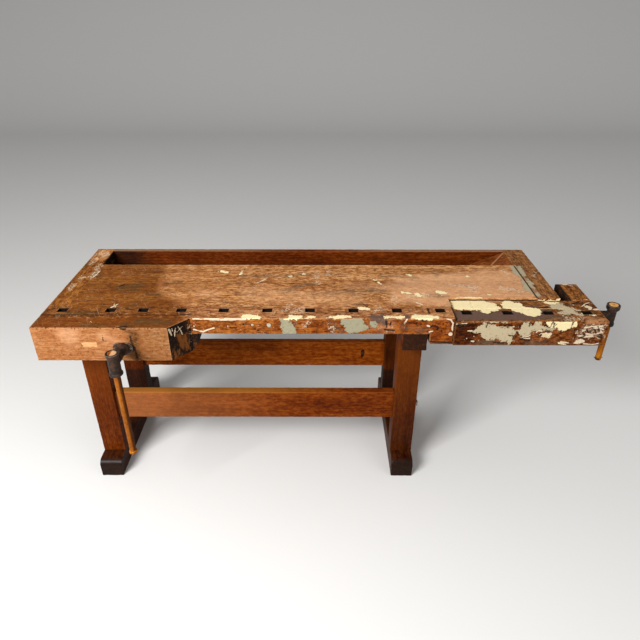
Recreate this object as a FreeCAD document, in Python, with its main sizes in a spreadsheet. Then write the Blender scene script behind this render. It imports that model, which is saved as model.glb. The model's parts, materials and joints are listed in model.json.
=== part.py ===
import FreeCAD, Part
import os
from types import SimpleNamespace

import Sketcher

# A cabinetmaker's bench: a laminated top with a tool tray, a full-width front vise at its left end,
# an L-shaped tail vise at its right end, and two sledge-footed trestles joined by two stretchers.
# Every length is in millimetres. X runs along the bench, Y from its front edge to its back, Z up.

# Driving dimensions, each written once

SIZES = dict(
    # the top
    bench_height=820,
    top_length=2033,
    top_depth=667,
    slab_thickness=68.5,
    tray_width=158,
    back_board_thickness=23,
    tray_floor_thickness=15,
    tray_floor_tuck=25,
    floor_rebate=6,
    ramp_length=152,
    ramp_step=3,
    ramp_toe=2,
    tray_screw_radius=2.5,
    tray_screw_length=38,
    tray_screw_head=5,
    # the front laminate with the dog holes
    dog_strip_width=92,
    fixed_jaw_length=596.5,
    fixed_jaw_height=143,
    fixed_jaw_round=45,
    stop_length=90,
    stop_height=114,
    dog_hole_length=36,
    dog_hole_width=28,
    dog_line=64,
    # the caps across the ends of the top
    left_cap_width=78,
    right_cap_width=92,
    cap_height=92,
    tongue_length=18,
    tongue_thickness=20,
    cap_bolt_radius=6,
    cap_bolt_reach=90,
    cap_head_side=20,
    cap_head_height=8,
    cap_recess_radius=15,
    cap_recess_depth=12,
    cap_nut_side=22,
    cap_nut_thickness=10,
    # the trestles
    left_trestle_inset=133.5,
    right_trestle_inset=602,
    foot_length=660,
    foot_width=94,
    foot_height=85,
    foot_round=32,
    leg_width=96,
    leg_depth=75,
    leg_tuck=14,
    rear_leg_inset=188,
    tenon_thickness=34,
    tenon_width=40,
    tenon_length=42,
    bearer_height=75,
    bearer_back_inset=12,
    peg_radius=10,
    peg_rise=25,
    peg_sink=30,
    front_peg_place=110,
    rear_peg_inset=84,
    # the stretchers and their bolts
    stretcher_height=136.5,
    stretcher_thickness=35,
    stretcher_inset=20,
    stretcher_floor_gap=261,
    stub_length=12,
    stub_shoulder=15,
    nut_slot_place=105,
    nut_slot_width=17,
    nut_slot_height=48,
    nut_slot_depth=30,
    bolt_radius=6,
    bolt_tail=14,
    bolt_head_side=19,
    bolt_head_height=10,
    washer_radius=16,
    washer_thickness=2.5,
    nut_side=24,
    nut_thickness=12,
    # the front vise
    jaw_thickness=72.5,
    jaw_front_length=505.5,
    jaw_back_length=573.5,
    jaw_gap=0.5,
    screw_radius=14,
    thread_pitch=6,
    thread_depth=2,
    front_screw_place=331,
    front_screw_drop=15.5,
    front_screw_length=445,
    front_hub_reach=107,
    screw_seat=25,
    hub_pin_place=45,
    hub_pin_stand=1,
    sleeve_height=92,
    sleeve_radius=21.5,
    rim_radius=25,
    rim_height=8,
    neck_radius=17,
    neck_flare_radius=26,
    neck_flare_length=16,
    collar_length=75,
    collar_height=45,
    collar_thickness=7,
    collar_screw_radius=2.5,
    collar_screw_head=4.5,
    collar_screw_length=28,
    collar_screw_spacing=60,
    key_width=20,
    key_thickness=8,
    key_inset=3,
    groove_radius=10,
    guide_rod_radius=12,
    guide_rod_spacing=122,
    guide_rod_length=310,
    guide_rod_seat=60,
    front_nut_side=46,
    front_nut_length=30,
    pin_radius=3,
    patch_length=56,
    patch_height=18,
    patch_thickness=5,
    patch_place=206.5,
    patch_drop=63,
    front_bar_length=468,
    front_bar_width=24,
    knob_tenon_radius=6,
    knob_tenon_length=9,
    bar_head_radius=15.5,
    bar_head_height=9,
    bar_knob_radius=15.5,
    bar_knob_height=14,
    # the tail vise
    vise_length=580,
    vise_overhang=123.5,
    vise_space_depth=166,
    vise_gap=3,
    vise_proud=6,
    vise_drop=9,
    vise_height=106,
    seam_slant=4,
    seam_gap=0.5,
    dog_block_width=102,
    jaw_block_length=86,
    end_block_length=133,
    cover_thickness=21,
    arm_length=90,
    arm_wall=20,
    tail_screw_inset=28,
    tail_screw_drop=49,
    tail_screw_tip=140,
    tail_hub_reach=80,
    tail_sleeve_height=94,
    tail_sleeve_radius=18,
    tail_rim_radius=26,
    tail_rim_height=17,
    tail_lip_radius=20.5,
    tail_lip_height=11,
    tail_plate_width=52,
    tail_plate_height=72,
    tail_plate_thickness=6,
    tail_plate_spacing=56,
    tail_key_inset=30,
    tail_bar_length=261,
    tail_bar_radius=12,
    tail_head_radius=17,
    tail_head_height=10,
    stop_pin_place=8,
    stop_pin_radius=2.5,
    stop_pin_length=34,
    plug_radius=7,
    plug_depth=10,
    plug_place=159,
    plug_drop=14,
    # what carries the tail vise under the top
    nut_block_length=75,
    nut_block_drop=11.5,
    nut_block_height=76,
    nut_block_front=8,
    nut_block_play=3,
    tail_nut_side=40,
    tail_nut_length=30,
    nut_block_bolt_radius=5,
    nut_block_bolt_length=110,
    nut_block_bolt_spacing=45,
    nut_block_bolt_rise=23,
    nut_block_head_radius=8,
    nut_block_head_height=5,
    lip_length=75,
    lip_reach=38,
    lip_thickness=18,
    lip_drop=11.5,
    runner_length=345,
    runner_width=34,
    runner_height=46.5,
    runner_inset=24,
    guide_bar_width=45,
    guide_bar_height=42,
    guide_bar_length=455,
    guide_bar_seat=45,
    bracket_length=45,
    bracket_wall=25,
    bracket_sole=14,
    bracket_place=171.5,
    runner_screw_radius=3,
    runner_screw_head=6,
    runner_screw_head_height=4,
    runner_screw_bite=25,
    # clearances
    slide_clearance=0.4,
    shaft_clearance=0.1,
    face_clearance=0.3,
    bolt_clearance=0.3,
    overrun=5,
)

# Ratios, chosen by hand

DOG_HOLE_SHARES = (-0.4653, -0.3743, -0.3123, -0.24, -0.1594, -0.0767, 0.0044, 0.0871, 0.1697, 0.2523)
VISE_HOLE_SHARES = (0.0961, 0.3685, 0.6418)
END_HOLE_SHARE = 0.9
CAP_BOLT_SHARES = (0.16, 0.84)
TRAY_SCREW_COUNT = 7
RUNNER_SCREW_SHARES = (0.1, 0.5, 0.9)
THREAD_PROFILE_SHARES = (0.1, 0.3, 0.7, 0.9)
OCTAGON_SHARE = 0.4142
OCTAGON_CORNER_SHARE = 1.0824
RIM_SLOPE_SHARE = 1.6


class Length:
    """A length with its number and the formula that binds a feature to the sheet."""

    def __init__(self, value, formula):
        self.value = float(value)
        self.formula = formula

    @staticmethod
    def of(item):
        return item if isinstance(item, Length) else Length(item, repr(item))

    def join(self, sign, other, value):
        return Length(value, "(%s %s %s)" % (self.formula, sign, Length.of(other).formula))

    def __add__(self, other):
        return self.join("+", other, self.value + Length.of(other).value)

    def __sub__(self, other):
        return self.join("-", other, self.value - Length.of(other).value)

    def __mul__(self, other):
        return self.join("*", other, self.value * Length.of(other).value)

    def __truediv__(self, other):
        return self.join("/", other, self.value / Length.of(other).value)

    def __neg__(self):
        return Length(-self.value, "(-%s)" % self.formula)


doc = FreeCAD.newDocument("workbench")
sheet = doc.addObject("Spreadsheet::Sheet", "sizes")
for row, (name, number) in enumerate(SIZES.items(), 1):
    sheet.set("A%d" % row, name)
    sheet.set("B%d" % row, str(number))
    sheet.setAlias("B%d" % row, name)
doc.recompute()
size = SimpleNamespace(**{name: Length(sheet.get(name), "sizes." + name) for name in SIZES})
zero = Length(0, "0")

# Places that follow from the sizes: X from the middle of the top, Y from its front edge, Z from the floor

left_end = -size.top_length / 2
right_end = size.top_length / 2
top = size.bench_height
slab_bottom = top - size.slab_thickness
floor_bottom = slab_bottom - size.tray_floor_thickness
back_board_front = size.top_depth - size.back_board_thickness
slab_back = back_board_front - size.tray_width
left_cap_inner = left_end + size.left_cap_width
right_cap_inner = right_end - size.right_cap_width
inner_length = right_cap_inner - left_cap_inner
cap_bottom = top - size.cap_height
slab_middle = top - size.slab_thickness / 2

vise_end = right_end + size.vise_overhang
seam_front = vise_end - size.vise_length
vise_front = -size.vise_proud
vise_back = size.vise_space_depth - size.vise_gap
vise_top = top - size.vise_drop
vise_bottom = vise_top - size.vise_height
end_block_start = vise_end - size.end_block_length
dog_block_back = vise_front + size.dog_block_width
tail_screw_y = vise_back - size.tail_screw_inset
tail_screw_z = vise_top - size.tail_screw_drop
tail_hub_x = vise_end + size.tail_hub_reach

fixed_jaw_bottom = top - size.fixed_jaw_height
jaw_back = -size.jaw_gap
jaw_front = jaw_back - size.jaw_thickness
front_screw_x = left_end + size.front_screw_place
front_screw_z = slab_bottom - size.front_screw_drop
front_hub_y = jaw_front - size.front_hub_reach

left_trestle = left_end + size.left_trestle_inset
right_trestle = right_end - size.right_trestle_inset
front_leg = size.dog_strip_width - size.leg_tuck
rear_leg = size.top_depth - size.rear_leg_inset
bearer_bottom = slab_bottom - size.bearer_height
bolt_height = size.stretcher_floor_gap + size.stretcher_height / 2

# The part's origin: on the floor, under the middle of its box
middle_x = (tail_hub_x + size.tail_rim_radius + left_end) / 2
middle_y = (size.top_depth + front_hub_y - size.rim_radius) / 2

PLANES = dict(x="YZ_Plane", y="XZ_Plane", z="XY_Plane")
ACROSS = dict(x=("y", "z"), y=("x", "z"), z=("x", "y"))
TURNS = dict(
    x=FreeCAD.Rotation(FreeCAD.Vector(0, 1, 0), 90),
    y=FreeCAD.Rotation(FreeCAD.Vector(1, 0, 0), -90),
    z=FreeCAD.Rotation(),
)


def seam_x(y):
    """X of the slanting seam between the fixed top and the tail vise, at depth y."""
    return seam_front + size.seam_slant * (y / size.vise_space_depth)


def place(item, x, y, z):
    """Puts an object's origin at a point of the bench."""
    item.setExpression("Placement.Base.x", (x - middle_x).formula)
    item.setExpression("Placement.Base.y", (y - middle_y).formula)
    item.setExpression("Placement.Base.z", (z + zero).formula)


class Piece:
    """A sub-part made as a body of sketches and features, all given in places of the bench."""

    def __init__(self, label, x, y, z):
        self.body = doc.addObject("PartDesign::Body", label)
        self.body.Label = label
        self.base = dict(x=x, y=y, z=z)
        place(self.body, x, y, z)

    def datum(self, role):
        return next(part for part in self.body.Origin.OriginFeatures if part.Role == role)

    def sketch(self, name, axis, at):
        """An empty sketch square to an axis, at a place along it."""
        sketch = self.body.newObject("Sketcher::SketchObject", name)
        sketch.AttachmentSupport = [(self.datum(PLANES[axis]), "")]
        sketch.MapMode = "FlatFace"
        offset = at - self.base[axis]
        offset = -offset if axis == "y" else offset
        sketch.setExpression("AttachmentOffset.Base.z", offset.formula)
        return sketch

    def bind(self, sketch, kind, items, length):
        """Adds one constraint and ties it to the sheet."""
        index = sketch.addConstraint(Sketcher.Constraint(kind, *items, length.value))
        name = "%s%d" % (kind.lower(), index)
        sketch.renameConstraint(index, name)
        sketch.setExpression("Constraints." + name, length.formula)

    def loop(self, sketch, axis, points):
        """A closed outline through points, each held by its two distances."""
        across = [self.base[letter] for letter in ACROSS[axis]]
        local = [(Length.of(a) - across[0], Length.of(b) - across[1]) for a, b in points]
        first = sketch.GeometryCount
        count = len(local)
        for number, (a, b) in enumerate(local):
            following = local[(number + 1) % count]
            start = FreeCAD.Vector(a.value, b.value, 0)
            end = FreeCAD.Vector(following[0].value, following[1].value, 0)
            sketch.addGeometry(Part.LineSegment(start, end), False)
        for number, (a, b) in enumerate(local):
            line = first + number
            sketch.addConstraint(Sketcher.Constraint("Coincident", line, 2, first + (number + 1) % count, 1))
            self.bind(sketch, "DistanceX", (-1, 1, line, 1), a)
            self.bind(sketch, "DistanceY", (-1, 1, line, 1), b)

    def rectangle(self, sketch, axis, a, b, length, width):
        self.loop(sketch, axis, ((a, b), (a + length, b), (a + length, b + width), (a, b + width)))

    def circle(self, sketch, axis, a, b, radius):
        across = [self.base[letter] for letter in ACROSS[axis]]
        a = a - across[0]
        b = b - across[1]
        centre = FreeCAD.Vector(a.value, b.value, 0)
        index = sketch.addGeometry(Part.Circle(centre, FreeCAD.Vector(0, 0, 1), radius.value), False)
        self.bind(sketch, "DistanceX", (-1, 1, index, 3), a)
        self.bind(sketch, "DistanceY", (-1, 1, index, 3), b)
        self.bind(sketch, "Radius", (index,), radius)

    def feature(self, kind, name, sketch, axis, depth):
        """A pad or pocket that runs up its axis from the sketch."""
        made = self.body.newObject("PartDesign::" + kind, name)
        made.Profile = sketch
        made.setExpression("Length", depth.formula)
        made.Reversed = (axis == "y") == (kind == "Pad")
        return made

    def prism(self, name, axis, points, at, depth, kind="Pad"):
        sketch = self.sketch(name + "_outline", axis, at)
        self.loop(sketch, axis, points)
        return self.feature(kind, name, sketch, axis, depth)

    def block(self, name, x, y, z, length, width, height, kind="Pad"):
        """A rectangular block with its lowest corner at a point."""
        sketch = self.sketch(name + "_outline", "z", z)
        self.rectangle(sketch, "z", x, y, length, width)
        return self.feature(kind, name, sketch, "z", height)

    def slot(self, name, x, y, z, length, width, height):
        return self.block(name, x, y, z, length, width, height, "Pocket")

    def rod(self, name, axis, a, b, radius, at, depth, kind="Pad"):
        """A round bar along an axis; a and b place its centre across that axis."""
        sketch = self.sketch(name + "_outline", axis, at)
        self.circle(sketch, axis, a, b, radius)
        return self.feature(kind, name, sketch, axis, depth)

    def bore(self, name, axis, a, b, radius, at, depth):
        return self.rod(name, axis, a, b, radius, at, depth, "Pocket")

    def turned(self, name, plane, line, points, kind="Revolution"):
        """A profile turned about a line through the piece's own origin."""
        sketch = self.sketch(name + "_profile", plane, self.base[plane])
        self.loop(sketch, plane, points)
        made = self.body.newObject("PartDesign::" + kind, name)
        made.Profile = sketch
        made.ReferenceAxis = (sketch, [line])
        made.Angle = 360
        return made

    def fillet(self, name, base, radius, wanted):
        """Rounds the edges of a feature whose middle point passes a test."""
        doc.recompute()
        edges = []
        for number, edge in enumerate(base.Shape.Edges, 1):
            middle = edge.CenterOfMass
            if wanted(middle, edge):
                edges.append("Edge%d" % number)
        rounded = self.body.newObject("PartDesign::Fillet", name)
        rounded.Base = (base, edges)
        rounded.setExpression("Radius", radius.formula)
        return rounded

    def near(self, value, axis, place_along):
        """Whether a local coordinate lies at a place of the bench."""
        return abs(value - (place_along - self.base[axis]).value) < FIT


FIT = 0.01
pieces = {}


def keep(piece):
    """Files a finished sub-part under its label."""
    item = piece.body if isinstance(piece, Piece) else piece
    pieces[item.Label] = item


def board(label, x, y, z, length, width, height):
    """A piece that starts as a rectangular board."""
    piece = Piece(label, x, y, z)
    piece.block(label + "_board", x, y, z, length, width, height)
    keep(piece)
    return piece


def box(name, x, y, z, length, width, height):
    """A plain box, for nuts and bolt heads."""
    item = doc.addObject("Part::Box", name)
    place(item, x, y, z)
    item.setExpression("Length", length.formula)
    item.setExpression("Width", width.formula)
    item.setExpression("Height", height.formula)
    return item


def cylinder(name, axis, x, y, z, radius, height):
    """A plain cylinder that runs up its axis from a point."""
    item = doc.addObject("Part::Cylinder", name)
    item.Placement = FreeCAD.Placement(FreeCAD.Vector(), TURNS[axis])
    place(item, x, y, z)
    item.setExpression("Radius", radius.formula)
    item.setExpression("Height", height.formula)
    return item


def joined(name, *items):
    """One solid made of several that touch."""
    made = doc.addObject("Part::MultiFuse", name)
    made.Shapes = list(items)
    return made


def pierced(name, item, tool):
    """An item with a tool cut out of it."""
    made = doc.addObject("Part::Cut", name)
    made.Base = item
    made.Tool = tool
    return made


def group(label, items):
    """Like pieces that share one node, each a solid of its own."""
    made = doc.addObject("Part::Compound", label)
    made.Label = label
    made.Links = items
    keep(made)


def headed(name, axis, head_first, x, y, z, radius, length, head_radius, head_height):
    """A round-headed screw: the head at its low end along the axis, or at its high end."""
    point = dict(x=x, y=y, z=z)
    shank = cylinder(name + "_shank", axis, x, y, z, radius, length)
    if not head_first:
        point[axis] = point[axis] + length - head_height
    head = cylinder(name + "_head", axis, point["x"], point["y"], point["z"], head_radius, head_height)
    return joined(name, shank, head)


# Top slab

def slab_holes(piece):
    """Mortises in the slab for the end-cap bolts, the trestle pegs and the tray screws."""
    for number, (x, y) in enumerate(peg_places):
        piece.bore("peg_hole_%d" % number, "z", x, y, size.peg_radius, slab_bottom, size.peg_rise)
    for number, y in enumerate(cap_bolt_lines):
        at_left = number < len(CAP_BOLT_SHARES)
        start = left_cap_inner - size.tongue_length if at_left else right_cap_inner - size.cap_bolt_reach
        piece.bore("cap_bolt_hole_%d" % number, "x", y, slab_middle, cap_bolt_hole, start,
                   size.cap_bolt_reach + size.tongue_length)
        nut_x = cap_nut_start(number)
        piece.slot("cap_nut_slot_%d" % number, nut_x, y - size.cap_nut_side / 2, slab_bottom,
                   size.cap_nut_thickness, size.cap_nut_side,
                   slab_middle + size.cap_nut_side / 2 - slab_bottom)
    screw_holes = piece.sketch("tray_screw_holes_outline", "z", slab_bottom)
    for x in tray_screw_places():
        piece.circle(screw_holes, "z", x, tray_screw_line, size.tray_screw_radius)
    piece.feature("Pocket", "tray_screw_holes", screw_holes, "z",
                  size.tray_screw_length - size.tray_floor_thickness)
    for number, (x, y, _) in enumerate(runner_screw_places()):
        piece.bore("runner_screw_hole_%d" % number, "z", x, y, size.runner_screw_radius, slab_bottom,
                   size.runner_screw_bite)


# Centres of the pegs that locate the top on the trestles
peg_lines = [size.dog_strip_width + size.front_peg_place, slab_back - size.rear_peg_inset]
peg_places = [(x, y) for x in (left_trestle, right_trestle) for y in peg_lines]

# Y of each end-cap bolt: those of the left cap, then those of the right
cap_bolt_lines = [
    front + (slab_back - front) * share
    for front in (size.dog_strip_width, size.vise_space_depth)
    for share in CAP_BOLT_SHARES
]
cap_bolt_hole = size.cap_bolt_radius + size.bolt_clearance


def cap_nut_start(number):
    """X at which an end-cap nut starts."""
    if number < len(CAP_BOLT_SHARES):
        return left_cap_inner + size.cap_bolt_reach - size.cap_nut_thickness * 2
    return right_cap_inner - size.cap_bolt_reach + size.cap_nut_thickness


def tray_screw_places():
    """X of each screw that holds the tray floor up to the slab."""
    step = inner_length / TRAY_SCREW_COUNT
    return [left_cap_inner + step * (number + 0.5) for number in range(TRAY_SCREW_COUNT)]


tray_screw_line = slab_back - size.tray_floor_tuck / 2
guide_play = size.slide_clearance
runner_start = seam_x(size.vise_space_depth) + size.overrun
runner_front = size.vise_space_depth + size.runner_inset
runner_back = runner_front + size.runner_width
runner_bottom = slab_bottom - size.runner_height
lip_top = slab_bottom - size.lip_drop
arm_start = vise_end - size.arm_length
bracket_start = right_cap_inner - size.bracket_place + size.bracket_length
bracket_front = runner_back + guide_play
guide_bar_front = bracket_front + size.bracket_wall + guide_play
guide_bar_bottom = vise_bottom
guide_bar_start = arm_start + size.guide_bar_seat - size.guide_bar_length
bracket_bottom = guide_bar_bottom - guide_play - size.bracket_sole
bracket_width = size.guide_bar_width + (guide_play + size.bracket_wall) * 2
arm_back = guide_bar_front + size.guide_bar_width + size.arm_wall


def runner_screw_places():
    """X, Y and low end of each screw that hangs the runner or the bracket under the slab."""
    line = runner_back - size.runner_screw_head * 2
    places = [(runner_start + size.runner_length * share, line, runner_bottom) for share in RUNNER_SCREW_SHARES]
    across = bracket_start + size.bracket_length / 2
    wall_middle = size.bracket_wall / 2
    places.append((across, bracket_front + wall_middle, bracket_bottom))
    places.append((across, bracket_front + bracket_width - wall_middle, bracket_bottom))
    return places


slab = Piece("top_slab", left_cap_inner, size.dog_strip_width, slab_bottom)
slab.prism(
    "slab",
    "z",
    (
        (left_cap_inner, size.dog_strip_width),
        (seam_x(size.dog_strip_width), size.dog_strip_width),
        (seam_x(size.vise_space_depth), size.vise_space_depth),
        (right_cap_inner, size.vise_space_depth),
        (right_cap_inner, slab_back),
        (left_cap_inner, slab_back),
    ),
    slab_bottom,
    size.slab_thickness,
)
tongue_bottom = slab_middle - size.tongue_thickness / 2
slab.block("left_tongue", left_cap_inner - size.tongue_length, size.dog_strip_width, tongue_bottom,
           size.tongue_length, slab_back - size.dog_strip_width, size.tongue_thickness)
slab.block("right_tongue", right_cap_inner, size.vise_space_depth, tongue_bottom,
           size.tongue_length, slab_back - size.vise_space_depth, size.tongue_thickness)
slab_holes(slab)
keep(slab)

# Front laminate: thick behind the front vise, thin in the middle, thick again where it meets the tail vise

strip_end = seam_x(size.dog_strip_width)
fixed_jaw_end = left_end + size.fixed_jaw_length
stop_start = seam_front - size.stop_length
stop_bottom = top - size.stop_height
strip = Piece("dog_strip", left_end, zero, fixed_jaw_bottom)
plank = strip.prism(
    "plank",
    "y",
    (
        (left_end, fixed_jaw_bottom),
        (fixed_jaw_end, fixed_jaw_bottom),
        (fixed_jaw_end, slab_bottom),
        (stop_start, slab_bottom),
        (stop_start, stop_bottom),
        (strip_end, stop_bottom),
        (strip_end, top),
        (left_end, top),
    ),
    zero,
    size.dog_strip_width,
)
strip.fillet(
    "rounded_end",
    plank,
    size.fixed_jaw_round,
    lambda middle, edge: strip.near(middle.x, "x", fixed_jaw_end)
    and strip.near(middle.z, "z", fixed_jaw_bottom),
)
strip.prism(
    "slanting_end",
    "z",
    (
        (seam_front, zero),
        (strip_end, size.dog_strip_width),
        (strip_end + size.overrun, size.dog_strip_width),
        (strip_end + size.overrun, zero),
    ),
    stop_bottom,
    size.stop_height,
    "Pocket",
)
holes = strip.sketch("dog_holes_outline", "z", fixed_jaw_bottom)
for share in DOG_HOLE_SHARES:
    strip.rectangle(
        holes,
        "z",
        size.top_length * share - size.dog_hole_length / 2,
        size.dog_line - size.dog_hole_width / 2,
        size.dog_hole_length,
        size.dog_hole_width,
    )
strip.feature("Pocket", "dog_holes", holes, "z", size.fixed_jaw_height)
strip.bore("front_screw_hole", "y", front_screw_x, front_screw_z, size.screw_radius + size.face_clearance * 3,
           zero, size.dog_strip_width)
guide_rod_places = [front_screw_x - size.guide_rod_spacing, front_screw_x + size.guide_rod_spacing]
for number, x in enumerate(guide_rod_places):
    strip.bore("guide_rod_hole_%d" % number, "y", x, front_screw_z,
               size.guide_rod_radius + size.slide_clearance, zero, size.dog_strip_width)
strip.slot("front_nut_mortise", front_screw_x - size.front_nut_side / 2,
           size.dog_strip_width - size.front_nut_length, front_screw_z - size.front_nut_side / 2,
           size.front_nut_side, size.front_nut_length, size.front_nut_side)
keep(strip)

# End caps

def end_cap(label, start, width, front, groove_start, bolt_lines, outer_face):
    """A cap across an end of the top, grooved for the slab's tongue."""
    cap = board(label, start, front, cap_bottom, width, size.top_depth - front, size.cap_height)
    cap.slot("tongue_groove", groove_start, front, tongue_bottom, size.tongue_length,
             slab_back - front, size.tongue_thickness)
    for number, y in enumerate(bolt_lines):
        cap.bore("bolt_hole_%d" % number, "x", y, slab_middle, cap_bolt_hole, start, width)
        cap.bore("head_recess_%d" % number, "x", y, slab_middle, size.cap_recess_radius, outer_face,
                 size.cap_recess_depth)
    return cap


left_bolts = len(CAP_BOLT_SHARES)
end_cap("left_end_cap", left_end, size.left_cap_width, size.dog_strip_width,
        left_cap_inner - size.tongue_length, cap_bolt_lines[:left_bolts], left_end)
right_cap = end_cap("right_end_cap", right_cap_inner, size.right_cap_width, size.vise_space_depth,
                    right_cap_inner, cap_bolt_lines[left_bolts:], right_end - size.cap_recess_depth)
right_cap.slot(
    "guide_bar_notch",
    right_cap_inner,
    guide_bar_front - guide_play,
    cap_bottom,
    size.right_cap_width,
    size.guide_bar_width + guide_play * 2,
    guide_bar_bottom + size.guide_bar_height + guide_play - cap_bottom,
)
nut_block_start = end_block_start - size.nut_block_play - size.nut_block_length
nut_block_bottom = tail_screw_z - size.nut_block_height / 2 - size.nut_block_drop
nut_block_front = dog_block_back + size.nut_block_front
nut_block_bolts = [
    nut_block_start + (size.nut_block_length + size.nut_block_bolt_spacing * side) / 2 for side in (-1, 1)
]
nut_block_bolt_z = nut_block_bottom + size.nut_block_bolt_rise
for number, x in enumerate(nut_block_bolts):
    right_cap.bore("nut_block_bolt_hole_%d" % number, "y", x, nut_block_bolt_z, size.nut_block_bolt_radius,
                   size.vise_space_depth, nut_block_front + size.nut_block_bolt_length - size.vise_space_depth)

# Bolts and nuts of the end caps

bolts = []
nuts = []
half_head = size.cap_head_side / 2
half_nut = size.cap_nut_side / 2
for number, y in enumerate(cap_bolt_lines):
    if number < left_bolts:
        head_x = left_end + size.cap_recess_depth - size.cap_head_height
        shank_x = left_end + size.cap_recess_depth
        shank_end = left_cap_inner + size.cap_bolt_reach
    else:
        head_x = right_end - size.cap_recess_depth
        shank_x = right_cap_inner - size.cap_bolt_reach
        shank_end = right_end - size.cap_recess_depth
    head = box("cap_head_%d" % number, head_x, y - half_head, slab_middle - half_head,
               size.cap_head_height, size.cap_head_side, size.cap_head_side)
    shank = cylinder("cap_shank_%d" % number, "x", shank_x, y, slab_middle, size.cap_bolt_radius,
                     shank_end - shank_x)
    bolts.append(joined("cap_bolt_%d" % number, head, shank))
    nut_x = cap_nut_start(number)
    nut = box("cap_nut_block_%d" % number, nut_x, y - half_nut, slab_middle - half_nut,
              size.cap_nut_thickness, size.cap_nut_side, size.cap_nut_side)
    hole = cylinder("cap_nut_bore_%d" % number, "x", nut_x, y, slab_middle, cap_bolt_hole,
                    size.cap_nut_thickness)
    nuts.append(pierced("cap_nut_%d" % number, nut, hole))
group("end_cap_bolts", bolts)
group("end_cap_nuts", nuts)

# Tool tray

floor_front = slab_back - size.tray_floor_tuck
floor = board("tray_floor", left_cap_inner, floor_front, floor_bottom, inner_length,
              back_board_front + size.floor_rebate - floor_front, size.tray_floor_thickness)
floor_holes = floor.sketch("screw_holes_outline", "z", floor_bottom)
head_holes = floor.sketch("screw_heads_outline", "z", floor_bottom)
tray_screws = []
for number, x in enumerate(tray_screw_places()):
    floor.circle(floor_holes, "z", x, tray_screw_line, size.tray_screw_radius)
    floor.circle(head_holes, "z", x, tray_screw_line, size.tray_screw_head)
    tray_screws.append(headed("tray_screw_%d" % number, "z", True, x, tray_screw_line, floor_bottom,
                              size.tray_screw_radius, size.tray_screw_length, size.tray_screw_head,
                              size.washer_thickness))
floor.feature("Pocket", "screw_holes", floor_holes, "z", size.tray_floor_thickness)
floor.feature("Pocket", "screw_heads", head_holes, "z", size.washer_thickness)
group("tray_screws", tray_screws)

back_board = board("tray_back_board", left_cap_inner, back_board_front, floor_bottom, inner_length,
                   size.back_board_thickness, top - floor_bottom)
back_board.slot("floor_rebate", left_cap_inner, back_board_front, floor_bottom, inner_length,
                size.floor_rebate, size.tray_floor_thickness)

ramp_start = right_cap_inner - size.ramp_length
ramp = Piece("tray_ramp", ramp_start, slab_back, slab_bottom)
ramp.prism(
    "wedge",
    "y",
    (
        (ramp_start, slab_bottom),
        (right_cap_inner, slab_bottom),
        (right_cap_inner, top - size.ramp_step),
        (ramp_start, slab_bottom + size.ramp_toe),
    ),
    slab_back,
    size.tray_width,
)
keep(ramp)

# Trestles: a foot, two legs and a bearer each

foot_front = (size.top_depth - size.foot_length) / 2
leg_lines = (front_leg, rear_leg)
leg_base = size.foot_height
leg_height = bearer_bottom - leg_base


def tenon_corner(centre_x, leg_y):
    """Lowest corner of the tenon of a leg, in plan."""
    return centre_x - size.tenon_thickness / 2, leg_y + (size.leg_depth - size.tenon_width) / 2


def foot(label, centre_x):
    """A sledge foot with its top rounded off at both ends."""
    start = centre_x - size.foot_width / 2
    made = Piece(label, start, foot_front, zero)
    sole = made.block("sole", start, foot_front, zero, size.foot_width, size.foot_length, size.foot_height)
    made.fillet(
        "rounded_ends",
        sole,
        size.foot_round,
        lambda middle, edge: made.near(middle.z, "z", size.foot_height)
        and abs(middle.x - size.foot_width.value / 2) < FIT,
    )
    for number, leg_y in enumerate(leg_lines):
        x, y = tenon_corner(centre_x, leg_y)
        made.slot("leg_mortise_%d" % number, x, y, size.foot_height - size.tenon_length,
                  size.tenon_thickness, size.tenon_width, size.tenon_length)
    keep(made)


def leg(label, centre_x, leg_y, stretcher_side):
    """A leg with a tenon at each end, a stub mortise and a bolt hole for its stretcher."""
    start = centre_x - size.leg_width / 2
    made = board(label, start, leg_y, leg_base, size.leg_width, size.leg_depth, leg_height)
    x, y = tenon_corner(centre_x, leg_y)
    made.block("foot_tenon", x, y, leg_base - size.tenon_length, size.tenon_thickness, size.tenon_width,
               size.tenon_length)
    made.block("bearer_tenon", x, y, bearer_bottom, size.tenon_thickness, size.tenon_width, size.tenon_length)
    stretcher_y = leg_y + size.stretcher_inset
    stub_x = start + size.leg_width - size.stub_length if stretcher_side > 0 else start
    made.slot("stub_mortise", stub_x, stretcher_y, size.stretcher_floor_gap + size.stub_shoulder,
              size.stub_length, size.stretcher_thickness, size.stretcher_height - size.stub_shoulder * 2)
    made.bore("bolt_hole", "x", stretcher_y + size.stretcher_thickness / 2, bolt_height,
              size.bolt_radius + size.bolt_clearance, start, size.leg_width)


def bearer(label, centre_x, front):
    """A bearer that the top lies on, let down at its back for the tray floor."""
    start = centre_x - size.leg_width / 2
    end = size.top_depth - size.bearer_back_inset
    made = board(label, start, front, bearer_bottom, size.leg_width, end - front, size.bearer_height)
    made.slot("tray_notch", start, floor_front, floor_bottom, size.leg_width, end - floor_front,
              size.tray_floor_thickness)
    for number, leg_y in enumerate(leg_lines):
        x, y = tenon_corner(centre_x, leg_y)
        made.slot("leg_mortise_%d" % number, x, y, bearer_bottom, size.tenon_thickness, size.tenon_width,
                  size.tenon_length)
    for number, y in enumerate(peg_lines):
        made.bore("peg_hole_%d" % number, "z", centre_x, y, size.peg_radius, slab_bottom - size.peg_sink,
                  size.peg_sink)


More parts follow.
